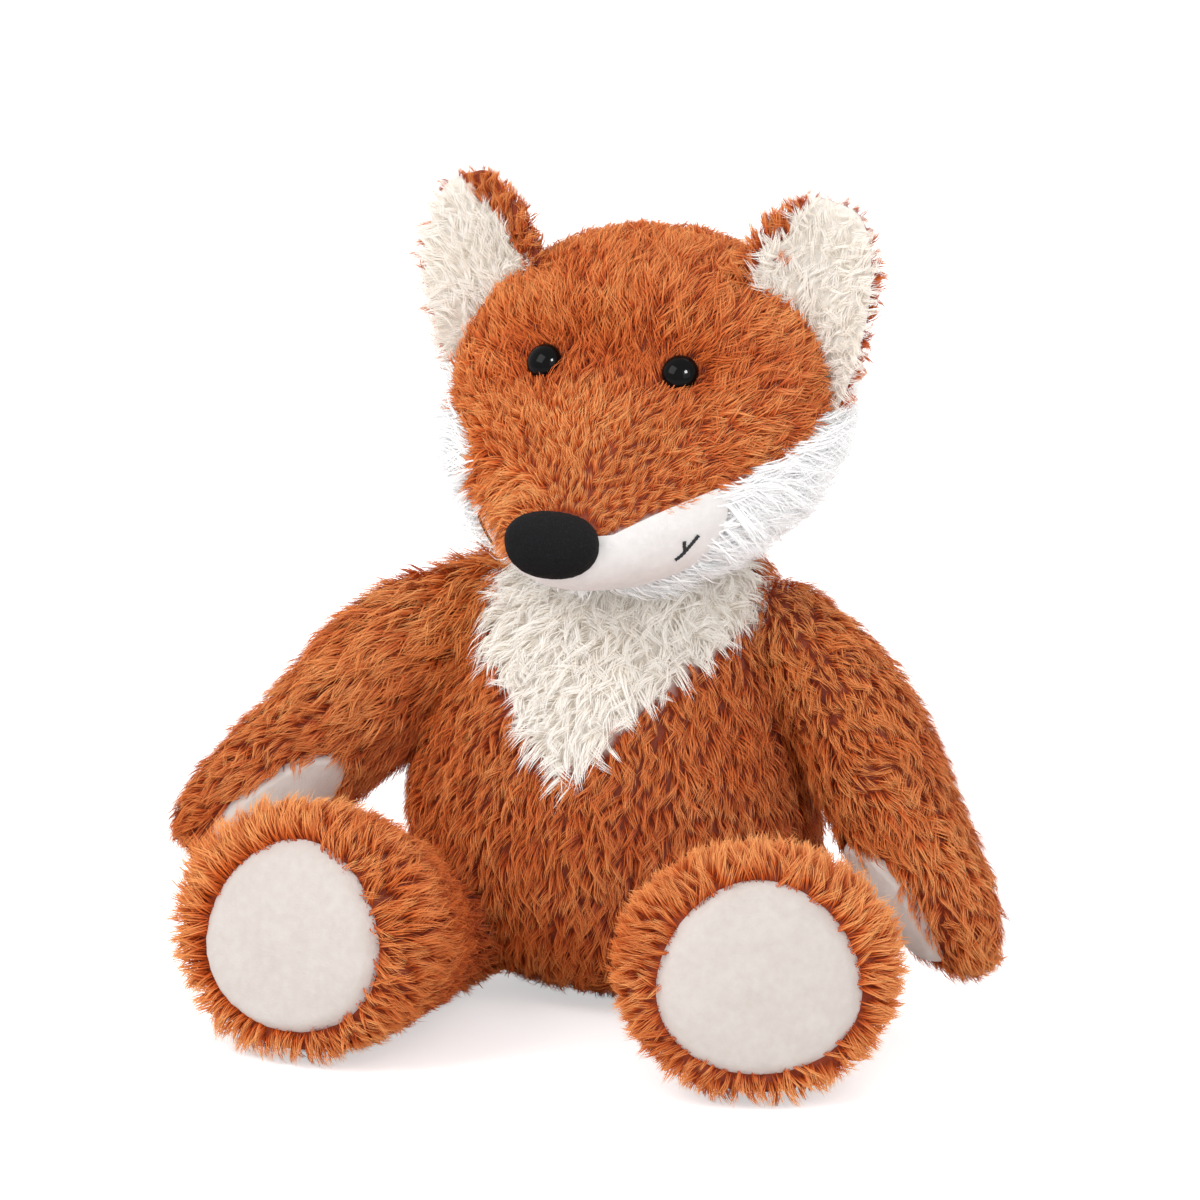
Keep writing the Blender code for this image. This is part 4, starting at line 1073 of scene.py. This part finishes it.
def roundTube(work, line, radius):
    # a twisted thread through the points
    rows = []
    for step, place in enumerate(line):
        before, after = line[max(step - 1, 0)], line[min(step + 1, len(line) - 1)]
        along = (after - before).normalized()
        if rows:
            across = (across - along * across.dot(along)).normalized()
        else:
            across = along.orthogonal().normalized()
        third = along.cross(across)
        row = []
        for side in range(mouth["sides"]):
            turn = mouth["twist"] * step
            angle = 2 * math.pi * side / mouth["sides"] + turn
            ply = 1 + mouth["ply"] * math.cos(2 * (angle - turn) + step * mouth["plyTurn"])
            out = across * math.cos(angle) + third * math.sin(angle)
            row.append(work.verts.new(place + out * radius * ply))
        rows.append(row)
    closeOver(work, rows, (line[0], line[-1]))


def onMuzzle(behind, rise, sign):
    below = Vector((0.0, tip + behind * head["muzzleLength"], -head["height"]))
    chin = outerHeadBush.ray_cast(below, Vector((0, 0, 1)))[0]
    room = mouth["seamRoom"]
    start = chin + Vector((0, 0, room + rise * (head["muzzleBackRise"] - head["baseDrop"] - chin.z - room)))
    place, normal, _, _ = muzzleBush.ray_cast(start + Vector((sign * 0.1, 0, 0)), Vector((-sign, 0, 0)))
    return place + normal * mouth["radius"] * mouth["proud"]


def stitched(work, part, sign, steps):
    # a thread along a smooth line through the part's places, pressed in to the muzzle's pile
    knots = [onMuzzle(behind, rise, sign) for behind, rise in mouth[part]]
    line = []
    for step in range(steps + 1):
        t = step / steps * (len(knots) - 1)
        low = min(int(t), len(knots) - 2)
        p0, p1 = knots[max(low - 1, 0)], knots[low]
        p2, p3 = knots[low + 1], knots[min(low + 2, len(knots) - 1)]
        f = t - low
        place = 0.5 * (2 * p1 + (p2 - p0) * f + (2 * p0 - 5 * p1 + 4 * p2 - p3) * f * f)
        place += 0.5 * (3 * p1 - p0 - 3 * p2 + p3) * f * f * f
        near, normal, _, _ = muzzleBush.find_nearest(place)
        line.append(near + normal * mouth["radius"] * mouth["proud"])
    roundTube(work, line, mouth["radius"])


for side, sign in bothSides:
    work = bmesh.new()
    stitched(work, "line", sign, 48)
    stitched(work, "tick", sign, 20)
    stitch = carried(poured(work, "stitch"), headPlace)
    stitch.shade_smooth()
    nodes = (f"mouth_thread_{side}",)
    newPiece(f"mouth_stitch_{side}", stitch, "blackThread", "head", nodes)
for side, _ in bothSides:
    sunk = Matrix.Translation((0, 0, head["eyeProud"] - head["eyeDome"] - head["eyeSunk"]))
    bead = shapedBall("eye", head["eyeSides"], eyeSeats[side] @ sunk, eyeSpot)
    bead = carried(bead, headPlace)
    newPiece(f"eye_bead_{side}", bead, "eyePlastic", "head", (f"eye_{side}",))
print("plush fox: face finished")


ear = {
    "length": 0.061,
    "width": 0.044,
    "wall": 0.0026,
    "cup": 0.010,
    "place": (0.041, 0.004, 0.067),
    "spread": 20.0,
    "toe": -8.0,
    "fill": 0.5,
    "sinkShare": 0.34,
    "shares": ((0.0, 0.96), (0.30, 1.02), (0.60, 0.96), (0.86, 0.70), (1.0, 0.34)),
    "acrossShares": (-1.0, -0.4, 0.4, 1.0),
    "inset": (0.92, 0.96),
    "facesFront": -0.25,
    # how far the orange back wraps over the outer edge, at the foot and more at the top
    "wrap": {"left": (0.30, 0.36), "right": (0.27, 0.85)},
    "ragged": {"share": 0.20, "size": 0.005},
    "sewnIn": 0.002,
    "lift": {"fan": 1.1, "upward": 0.012},
    "pile": {"length": 0.0076, "liningLean": 0.75, "backLean": 0.80},
    "tipPile": {"shorter": 0.0034, "over": (0.75, 1.0)},
    "look": {"spacing": 0.0013, "tilt": 0.28, "spin": 1.0},
}
buried = 0.003  # pile is left out this far inside another stuffed piece
headBush = bushOf(headMesh)
for side, sign in bothSides:
    work = bmesh.new()
    rows = []
    for height, width in ear["shares"]:
        row = []
        for part in ear["acrossShares"]:
            x = part * width * ear["width"] / 2 * ear["inset"][0]
            up = (height * ear["inset"][1] - ear["sinkShare"]) * ear["length"]
            row.append(work.verts.new((x, -ear["cup"] * (part * width) ** 2, up)))
        rows.append(row)
    for near, far in zip(rows, rows[1:]):
        for step in range(len(ear["acrossShares"]) - 1):
            work.faces.new((near[step], near[step + 1], far[step + 1], far[step]))
    skin = worked(poured(work, "earSkin"), thickened(ear["wall"], 0.0), rounded(4))
    x, y, z = ear["place"]
    earTurn = (
        Matrix.Translation((sign * x, y, z - head["baseDrop"]))
        @ turned(sign * ear["spread"], "Y")
        @ turned(-sign * ear["toe"], "Z")
    )
    earPlace = headPlace @ earTurn
    places, normals = vectors(skin, "co"), vectors(skin, "normal")
    free = depthIn(headBush, placesIn(earTurn, places)) < ear["sewnIn"]
    across = places[:, 0] * sign / (ear["width"] / 2)  # outer edge 1, inner edge -1
    rise = np.clip(places[:, 2] / ear["length"] + ear["sinkShare"], 0, 1)
    ragged = ear["ragged"]["share"] * lumps(places, ear["ragged"]["size"], 33 + sign)
    lowWrap, topWrap = ear["wrap"][side]
    lining = (normals[:, 1] < ear["facesFront"]) & (across + ragged > -1 + lowWrap + topWrap * rise**2)
    fan, upward = ear["lift"].values()
    lift = unit(places * np.array((fan, 0, 0)) + np.array((0, 0, upward)))
    tone = patches(places + sign * 0.3, 12)
    keepAttribute(skin, "pale", lining)
    dressed(f"ear_{side}_cloth", skin, earPlace, "head", ())
    shorter, over = ear["tipPile"].values()
    pileLength = ear["pile"]["length"] - shorter * smoothStep(*over, rise)
    look = {**ear["look"], "material": "creamPile", "seed": 31 + sign}
    combed(skin, lift, ear["pile"]["liningLean"], pileLength, tone, lining & free)
    nodes = (f"ear_{side}_lining",)
    growPile(f"ear_{side}_lining_fur", skin, earPlace, look, "head", nodes)
    look = {**ear["look"], "seed": 34 + sign}
    combed(skin, lift, ear["pile"]["backLean"], pileLength, tone, ~lining & free)
    growPile(f"ear_{side}_back_fur", skin, earPlace, look, "head", (f"ear_{side}_back",))
print("plush fox: ears dressed")


# arms, legs and tail start with the same rounded root: along, above, wide
rootRings = ((-0.87, 0.50, 0.72), (-0.50, 0.87, 0.94), (0.0, 1.0, 1.0))


def limbForm(radius, halfWidth, length, rings, side=(0, 1, 0), up=(0, 0, 1)):
    form = StuffedForm(side, up, (1, 0, 0))
    for along, above, wide in rootRings:
        form.ring((along * radius, 0, 0), wide * halfWidth, above * radius)
    for centre, halfSide, halfUp, lean in rings:
        form.ring(centre, halfSide, halfUp, lean=lean)
    form.close((-radius, 0, 0), (length, 0, 0))
    return form


def alongLimb(places, flare):
    return np.array((1.0, 0, 0)) + flare * unit(places * np.array((0, 1, 1)))


def ovalShare(points, centre, width, height, egg):
    # 1 on the outline of an oval that is narrower at its top by the share egg, less inside
    x, y = points[:, 0] - centre[0], points[:, 1] - centre[1]
    angle = np.arctan2(y / height, x / width)
    half = width / 2 * (1 - egg * np.sin(angle))
    return np.hypot(x / half, y / (height / 2))


patch = {
    "thickness": 0.0012,
    "rings": 22,
    "around": 72,
    "crown": 0.0010,
    "tuck": 0.0026,
    "tuckFrom": 0.86,
    "pucker": 0.00018,
    "puckers": 31,
    "puckerFrom": 0.7,
    "waves": ((0.0005, 0.011), (0.00022, 0.0045)),  # how proud, and size
}


def sewPatch(name, node, form, view, centre, size, egg, place, body):
    # a cropped-pile patch let in to the plush: it crowns a little and turns in at its seam
    bush = bushOf(form.mesh(name, cloth["shortDrop"], 4))
    rings, around = patch["rings"], patch["around"]
    width, height = size
    work = bmesh.new()
    out = view @ Vector((0, 0, 1))
    rows = []
    for ring in range(rings + 1):
        share = math.sin(ring / rings * math.pi / 2)
        tuck = patch["tuck"] * max(0.0, (share - patch["tuckFrom"]) / (1 - patch["tuckFrom"])) ** 2
        crown = patch["crown"] * (1 - share**2) - tuck
        gather = patch["pucker"] * max(0.0, (share - patch["puckerFrom"]) / (1 - patch["puckerFrom"]))
        row = []
        for step in range(around if ring else 1):
            angle = 2 * math.pi * step / around
            half = width / 2 * (1 - egg * math.sin(angle))
            x = centre[0] + share * half * math.cos(angle)
            y = centre[1] + share * height / 2 * math.sin(angle)
            spot, _, _, _ = bush.ray_cast(view @ Vector((x, y, 0.2)), -out)
            pucker = gather * math.sin(patch["puckers"] * angle)
            wave = sum(proud * noise.noise(spot / size) for proud, size in patch["waves"])
            row.append(work.verts.new(spot + out * (crown + pucker + wave)))
        rows.append(row)
    for step in range(around):
        work.faces.new((rows[0][0], rows[1][step], rows[1][(step + 1) % around]))
    for near, far in zip(rows[1:], rows[2:]):
        for step in range(around):
            after = (step + 1) % around
            work.faces.new((near[step], far[step], far[after], near[after]))
    bmesh.ops.recalc_face_normals(work, faces=work.faces)
    work.faces.ensure_lookup_table()
    if work.faces[0].normal.dot(out) < 0:
        bmesh.ops.reverse_faces(work, faces=work.faces)
    mesh = carried(worked(poured(work, name), thickened(patch["thickness"])), place)
    newPiece(name, mesh, "creamVelboa", body, (node,))


arm = {
    "length": 0.112,
    "rootRadius": 0.0170,
    "width": 0.045,
    "depth": 0.041,
    "fill": 0.7,
    "shoulder": (0.041, 0.012, 0.098),
    "palm": (0.040, 0.019),
    "palmReach": 0.080,
    "palmEgg": 0.20,
    "palmOverlap": 0.002,
    "heading": {"left": 24.0, "right": 34.0},
    "drop": {"left": 48.0, "right": 35.0},
    "roll": {"left": -25.0, "right": -15.0},
    # reach, width, depth and bow
    "shares": (
        (0.20, 0.94, 0.94, 0.045),
        (0.40, 1.00, 1.00, 0.025),
        (0.62, 0.98, 0.94, -0.010),
        (0.84, 0.88, 0.80, -0.010),
        (0.95, 0.65, 0.56, -0.005),
    ),
    "pile": {"lean": 0.68, "length": 0.0086, "stray": 0.65},
    "flare": 0.25,
    "shoulderPile": {"until": (0.25, 0.60), "lean": -0.10, "length": {"left": -0.0002, "right": 0.0042}},
    # painted shade where the arm lies close to the torso
    "besideTorso": {"paintedShade": 0.7, "within": 0.010, "from": (0.15, 0.3)},
}
for side, sign in bothSides:
    heading, drop = math.radians(arm["heading"][side]), math.radians(arm["drop"][side])
    level = Vector((sign * math.cos(heading), -math.sin(heading), 0))
    along = level * math.cos(drop) - Vector((0, 0, math.sin(drop)))
    outward = level * math.sin(drop) + Vector((0, 0, math.cos(drop)))
    turn = axes(along, outward.cross(along), outward).to_4x4()
    x, y, z = arm["shoulder"]
    armPlace = Matrix.Translation((sign * x, y, z)) @ turn
    roll = math.radians(arm["roll"][side])
    palm = Vector((0, -sign * math.cos(roll), math.sin(roll)))
    rings = []
    for reach, width, depth, bow in arm["shares"]:
        centre = (reach * arm["length"], 0, bow * arm["length"])
        rings.append((centre, width * arm["width"] / 2, depth * arm["depth"] / 2, 0.0))
    radius = arm["rootRadius"]
    form = limbForm(radius, radius, arm["length"], rings, Vector((1, 0, 0)).cross(palm), palm)
    skin = form.mesh("armSkin", cloth["backing"], 4)
    places = vectors(skin, "co")
    reach = places[:, 0] / arm["length"]
    inTorso = depthIn(torsoBush, placesIn(armPlace, places))
    # painted shade on the arm where it lies close to the torso
    paintedShade, within, fadesIn = arm["besideTorso"].values()
    near = bell(np.minimum(inTorso, 0), within) * smoothStep(*fadesIn, reach)
    tone = patches(places + sign * 0.2, 15) - paintedShade * near
    palmView = axes((1, 0, 0), palm.cross((1, 0, 0)), palm)
    onPalm = places @ np.array(palmView)
    middle = (arm["palmReach"], 0.0)
    width, height = (measure - arm["palmOverlap"] for measure in arm["palm"])
    palmArea = (ovalShare(onPalm, middle, width, height, arm["palmEgg"]) < 1) & (onPalm[:, 2] > 0)
    body = f"arm_{side}"
    ground = form.mesh("armCloth", cloth["backing"], 3)
    dressed(f"arm_{side}_cloth", ground, armPlace, body, (f"arm_{side}_stuffing",))
    lay = alongLimb(places, arm["flare"])
    shoulder = 1 - smoothStep(*arm["shoulderPile"]["until"], reach)
    lean = arm["pile"]["lean"] + arm["shoulderPile"]["lean"] * shoulder
    length = arm["pile"]["length"] + arm["shoulderPile"]["length"][side] * shoulder
    combed(skin, lay, lean, length, tone, (inTorso < buried) & ~palmArea, arm["pile"]["stray"])
    growPile(f"arm_{side}_fur", skin, armPlace, {"seed": 51 + sign}, body, (f"arm_{side}_skin",))
    name, node = f"palm_{side}_patch", f"palm_{side}_pad"
    sewPatch(name, node, form, palmView, middle, arm["palm"], arm["palmEgg"], armPlace, body)
print("plush fox: arms dressed")

leg = {
    "length": 0.090,
    "rootRadius": 0.022,
    "rootWidth": 0.044,
    "footWidth": 0.080,
    "footHeight": 0.070,
    "fill": 0.8,
    "hip": (0.040, -0.024),
    "sole": (0.054, 0.050),
    "soleEgg": 0.12,
    "soleOverlap": 0.003,
    "soleFacing": 0.3,
    "topFacing": -0.1,
    "lean": 0.16,
    "splay": {"left": 23.0, "right": 12.0},
    # reach, width, height and how much of the foot's lean
    "shares": (
        (0.13, 0.51, 0.58, 0.0),
        (0.27, 0.54, 0.59, 0.0),
        (0.42, 0.73, 0.78, 0.2),
        (0.62, 0.93, 0.92, 0.5),
        (0.82, 1.00, 1.00, 0.9),
        (0.92, 0.98, 0.98, 1.0),
        (0.985, 0.78, 0.78, 1.0),
    ),
    "onFloor": 0.0048,
    "look": {"tilt": 0.2},
    "pile": {"lean": 0.68, "length": 0.0085, "paler": 0.1},
    # what changes towards the foot's rim, and there at its outer side and underneath
    "rimPile": {"from": (0.55, 0.85), "lean": -0.20, "length": 0.0010, "paler": 0.25, "under": -0.0022},
    "flare": {"left": -0.0010, "right": 0.0030},
    # the pile lies back from the foot, and outwards, most where it faces as the sole does
    "lay": {"back": -0.75, "out": 0.2, "outAtSole": 1.1, "facing": (0.2, 0.9)},
    # painted shade on the leg's inner side, which faces away from the key light
    "inner": {"paintedShade": 1.25, "lessAtRim": 0.6},
    "tuckedPile": {"lean": 1.1, "coveredLean": -0.4, "length": 0.0062, "stray": 0.4},
    "tuckedSpacing": 0.0019,
}
upright = Vector((0, 0, 1))
for side, sign in bothSides:
    splay = math.radians(leg["splay"][side])
    along = Vector((sign * math.sin(splay), -math.cos(splay), 0))
    hip = Vector((sign * leg["hip"][0], leg["hip"][1], leg["rootRadius"] - torso["sink"]))
    legPlace = Matrix.Translation(hip) @ axes(along, upright.cross(along), upright).to_4x4()
    rings = []
    for reach, width, height, lean in leg["shares"]:
        halfHeight = height * leg["footHeight"] / 2
        centre = (reach * leg["length"], 0, halfHeight - leg["rootRadius"])
        rings.append((centre, width * leg["footWidth"] / 2, halfHeight, -lean * leg["lean"]))
    form = limbForm(leg["rootRadius"], leg["rootWidth"] / 2, leg["length"], rings)
    footRise = leg["footHeight"] / 2 - leg["rootRadius"]
    form.close((-leg["rootRadius"], 0, 0), (leg["length"], 0, footRise))
    skin = form.mesh("legSkin", cloth["backing"], 4)
    places, normals = vectors(skin, "co"), vectors(skin, "normal")
    tone = patches(places + sign * 0.2, 17)
    spots = placesIn(legPlace, places)
    inTorso = depthIn(torsoBush, spots) >= buried
    onFloor = spots[:, 2] <= leg["onFloor"]
    middle = (0.0, footRise)
    width, height = (measure - leg["soleOverlap"] for measure in leg["sole"])
    onSole = ovalShare(places[:, 1:], middle, width, height, leg["soleEgg"]) < 1
    soleArea = onSole & (normals[:, 0] > leg["soleFacing"])
    body = f"leg_{side}"
    ground = form.mesh("legCloth", cloth["backing"], 3)
    dressed(f"leg_{side}_cloth", ground, legPlace, body, (f"leg_{side}_stuffing",))
    radial = unit((places - np.array((0, 0, footRise))) * np.array((0, 1, 1)))
    rim = smoothStep(*leg["rimPile"]["from"], places[:, 0] / leg["length"])
    layBack, out, outAtSole, facing = leg["lay"].values()
    spread = out + outAtSole * smoothStep(*facing, normals[:, 0])
    lay = np.array((layBack, 0, 0)) + radial * spread[:, None]
    # painted shade on the inner side, less towards the rim
    inner = np.clip(-sign * radial[:, 1], 0, 1) * (1 - leg["inner"]["lessAtRim"] * rim)
    shag = leg["flare"][side] * np.clip(-radial[:, 1], 0, 1)
    shag = shag + leg["rimPile"]["under"] * np.clip(-radial[:, 2], 0, 1)
    length = leg["pile"]["length"] + (leg["rimPile"]["length"] + shag) * rim
    lean = leg["pile"]["lean"] + leg["rimPile"]["lean"] * rim
    shade = tone + leg["pile"]["paler"] + leg["rimPile"]["paler"] * rim
    shade = shade - leg["inner"]["paintedShade"] * inner
    combed(skin, lay, lean, length, shade, ~inTorso & ~onFloor & ~soleArea)
    look = {**leg["look"], "seed": 61 + sign}
    growPile(f"leg_{side}_fur", skin, legPlace, look, body, (f"leg_{side}_skin",))
    # the pile it sits on, and what the belly covers until the leg swings down
    tucked = (onFloor & ~soleArea) | (inTorso & (normals[:, 2] > leg["topFacing"]))
    lean = leg["tuckedPile"]["lean"] + leg["tuckedPile"]["coveredLean"] * inTorso
    length, stray = leg["tuckedPile"]["length"], leg["tuckedPile"]["stray"]
    combed(skin, np.array((-1.0, 0, 0)), lean, length, tone, tucked, stray)
    look = {**leg["look"], "spacing": leg["tuckedSpacing"], "seed": 65 + sign}
    growPile(f"leg_{side}_under_fur", skin, legPlace, look, body, ())
    name, node = f"sole_{side}_patch", f"sole_{side}_pad"
    soleView = axes((0, 1, 0), (0, 0, 1), (1, 0, 0))
    sewPatch(name, node, form, soleView, middle, leg["sole"], leg["soleEgg"], legPlace, body)
print("plush fox: legs dressed")

tail = {
    "length": 0.106,
    "width": 0.040,
    "rootRadius": 0.013,
    "y": 0.040,
    "swingRoom": 0.0015,
    "tipLength": 0.036,
    "heading": 20.0,
    "fill": 0.7,
    "shares": ((0.20, 0.65), (0.45, 0.95), (0.66, 1.00), (0.84, 0.78), (0.95, 0.42)),
    "ragged": {"reach": 0.003, "size": 0.006},
    "onFloor": 0.0048,
    "flare": 0.2,
    "pile": {"lean": 0.66, "length": 0.0105},
}
heading = math.radians(tail["heading"])
along = Vector((-math.sin(heading), math.cos(heading), 0))
root = Vector((0.0, tail["y"], tail["rootRadius"] + tail["swingRoom"]))
tailPlace = Matrix.Translation(root) @ axes(along, upright.cross(along), upright).to_4x4()
floorZ = -tail["rootRadius"] - tail["swingRoom"] - torso["sink"]
rings = []
for reach, width in tail["shares"]:
    half = width * tail["width"] / 2
    rings.append(((reach * tail["length"], 0, floorZ + half), half, half, 0.0))
form = limbForm(tail["rootRadius"], tail["rootRadius"], tail["length"], rings)
tipRise = floorZ + tail["shares"][-1][1] * tail["width"] / 2
form.close((-tail["rootRadius"], 0, 0), (tail["length"], 0, tipRise))
skin = form.mesh("tailSkin", cloth["backing"], 4)
places = vectors(skin, "co")
tone = patches(places, 18)
ragged = tail["ragged"]["reach"] * lumps(places, tail["ragged"]["size"], 19)
tipArea = places[:, 0] + ragged > tail["length"] - tail["tipLength"]
keepAttribute(skin, "pale", tipArea)
spots = placesIn(tailPlace, places)
free = (depthIn(torsoBush, spots) < buried) & (spots[:, 2] > tail["onFloor"])
dressed("tail_cloth", skin, tailPlace, "tail", ("tail_stuffing",))
lay = alongLimb(places, tail["flare"])
lean, length = tail["pile"].values()
look = {"spacing": 0.0016, "seed": 71}
combed(skin, lay, lean, length, tone, free & ~tipArea)
growPile("tail_fur", skin, tailPlace, look, "tail", ("tail_skin",))
look = {**look, "material": "whitePile", "seed": 72}
combed(skin, lay, lean, length, tone, free & tipArea)
growPile("tail_tip_fur", skin, tailPlace, look, "tail", ("tail_tip",))
print("plush fox: tail dressed")

# the eye washers stay as the frame's own solids
for side, _ in bothSides:
    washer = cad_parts[f"eye_washer_{side}"]
    washer.data.materials.clear()
    washer.data.materials.append(materials["washerPlastic"])


studio = {
    "azimuth": 20.0,
    "elevation": 15.0,
    "frameWidth": 0.324,
    "distance": 4.5,
    "centreAcross": -0.0081,
    "centreUp": 0.102,
    "sensor": 36,
    "world": 0.80,
    "floorSize": 3.0,
    "floorGlow": 0.52,
    "aim": (0, 0, 0.09),
    # place, size, power
    "lamps": (
        ((-0.75, -0.95, 1.15), 0.9, 11.0),
        ((0.95, -0.85, 0.75), 1.0, 4.2),
        ((0.1, 0.9, 1.2), 0.8, 3.4),
    ),
    "catchLight": ((0.65, -0.65, 0.84), 0.26, 20.0),  # lights only what is glossy, and so puts the glints in the eyes
}

# paper floor: white to the camera, with the object's shadow kept
bench = startMaterial("paperFloor", (1, 1, 1))
grain = bench.noise(scale=300.0, detail=2.0)
paper = bench.mix(grain, (0.90, 0.90, 0.90), (0.93, 0.93, 0.93))
paper = bench.add("ShaderNodeBsdfDiffuse", {}, {"Color": paper})
glow = bench.add("ShaderNodeEmission", {}, {"Color": (1, 1, 1, 1), "Strength": studio["floorGlow"]})
lit = bench.add("ShaderNodeAddShader", {}, {0: paper, 1: glow})
seen = bench.add("ShaderNodeLightPath", {}, {}, 0)
shader = bench.add("ShaderNodeMixShader", {}, {0: seen, 1: paper, 2: lit})
bench.add("ShaderNodeOutputMaterial", {}, {"Surface": shader})
work = bmesh.new()
bmesh.ops.create_grid(work, x_segments=8, y_segments=8, size=studio["floorSize"])
floorMesh = poured(work, "floor")
floorMesh.materials.append(materials["paperFloor"])
floor = bpy.data.objects.new("floor", floorMesh)
scene.collection.objects.link(floor)

world = bpy.data.worlds.new("studioLight")
world.use_nodes = True
world.node_tree.nodes.clear()
bench = Bench(world.node_tree)
seen = bench.add("ShaderNodeLightPath", {}, {}, 0)
strength = seen * (1.0 - studio["world"]) + studio["world"]
sky = bench.add("ShaderNodeBackground", {}, {"Color": (1, 1, 1, 1), "Strength": strength})
bench.add("ShaderNodeOutputWorld", {}, {"Surface": sky})
scene.world = world

for number, (place, size, power) in enumerate((*studio["lamps"], studio["catchLight"])):
    lamp = bpy.data.lights.new(f"softbox{number}", "AREA")
    lamp.shape = "SQUARE"
    lamp.size = size
    lamp.energy = power
    lampObject = bpy.data.objects.new(f"softbox{number}", lamp)
    lampObject.location = place
    aim = Vector(studio["aim"]) - Vector(place)
    lampObject.rotation_euler = aim.to_track_quat("-Z", "Y").to_euler()
    lampObject.visible_diffuse = number < len(studio["lamps"])
    scene.collection.objects.link(lampObject)

azimuth, elevation = math.radians(studio["azimuth"]), math.radians(studio["elevation"])
across = Vector((math.cos(azimuth), math.sin(azimuth), 0))
level = Vector((math.sin(azimuth), -math.cos(azimuth), 0))
back = level * math.cos(elevation) + upright * math.sin(elevation)
upward = back.cross(across)
camera = bpy.data.cameras.new("camera")
camera.sensor_width = studio["sensor"]
camera.lens = studio["sensor"] * studio["distance"] / studio["frameWidth"]
camera.clip_start = 0.1
camera.clip_end = 30
cameraObject = bpy.data.objects.new("camera", camera)
aim = across * studio["centreAcross"] + upward * studio["centreUp"]
place = Matrix.Translation(aim + back * studio["distance"])
cameraObject.matrix_world = place @ axes(across, upward, back).to_4x4()
scene.collection.objects.link(cameraObject)
scene.camera = cameraObject
scene.view_settings.view_transform = "Standard"

print("plush fox: ready")
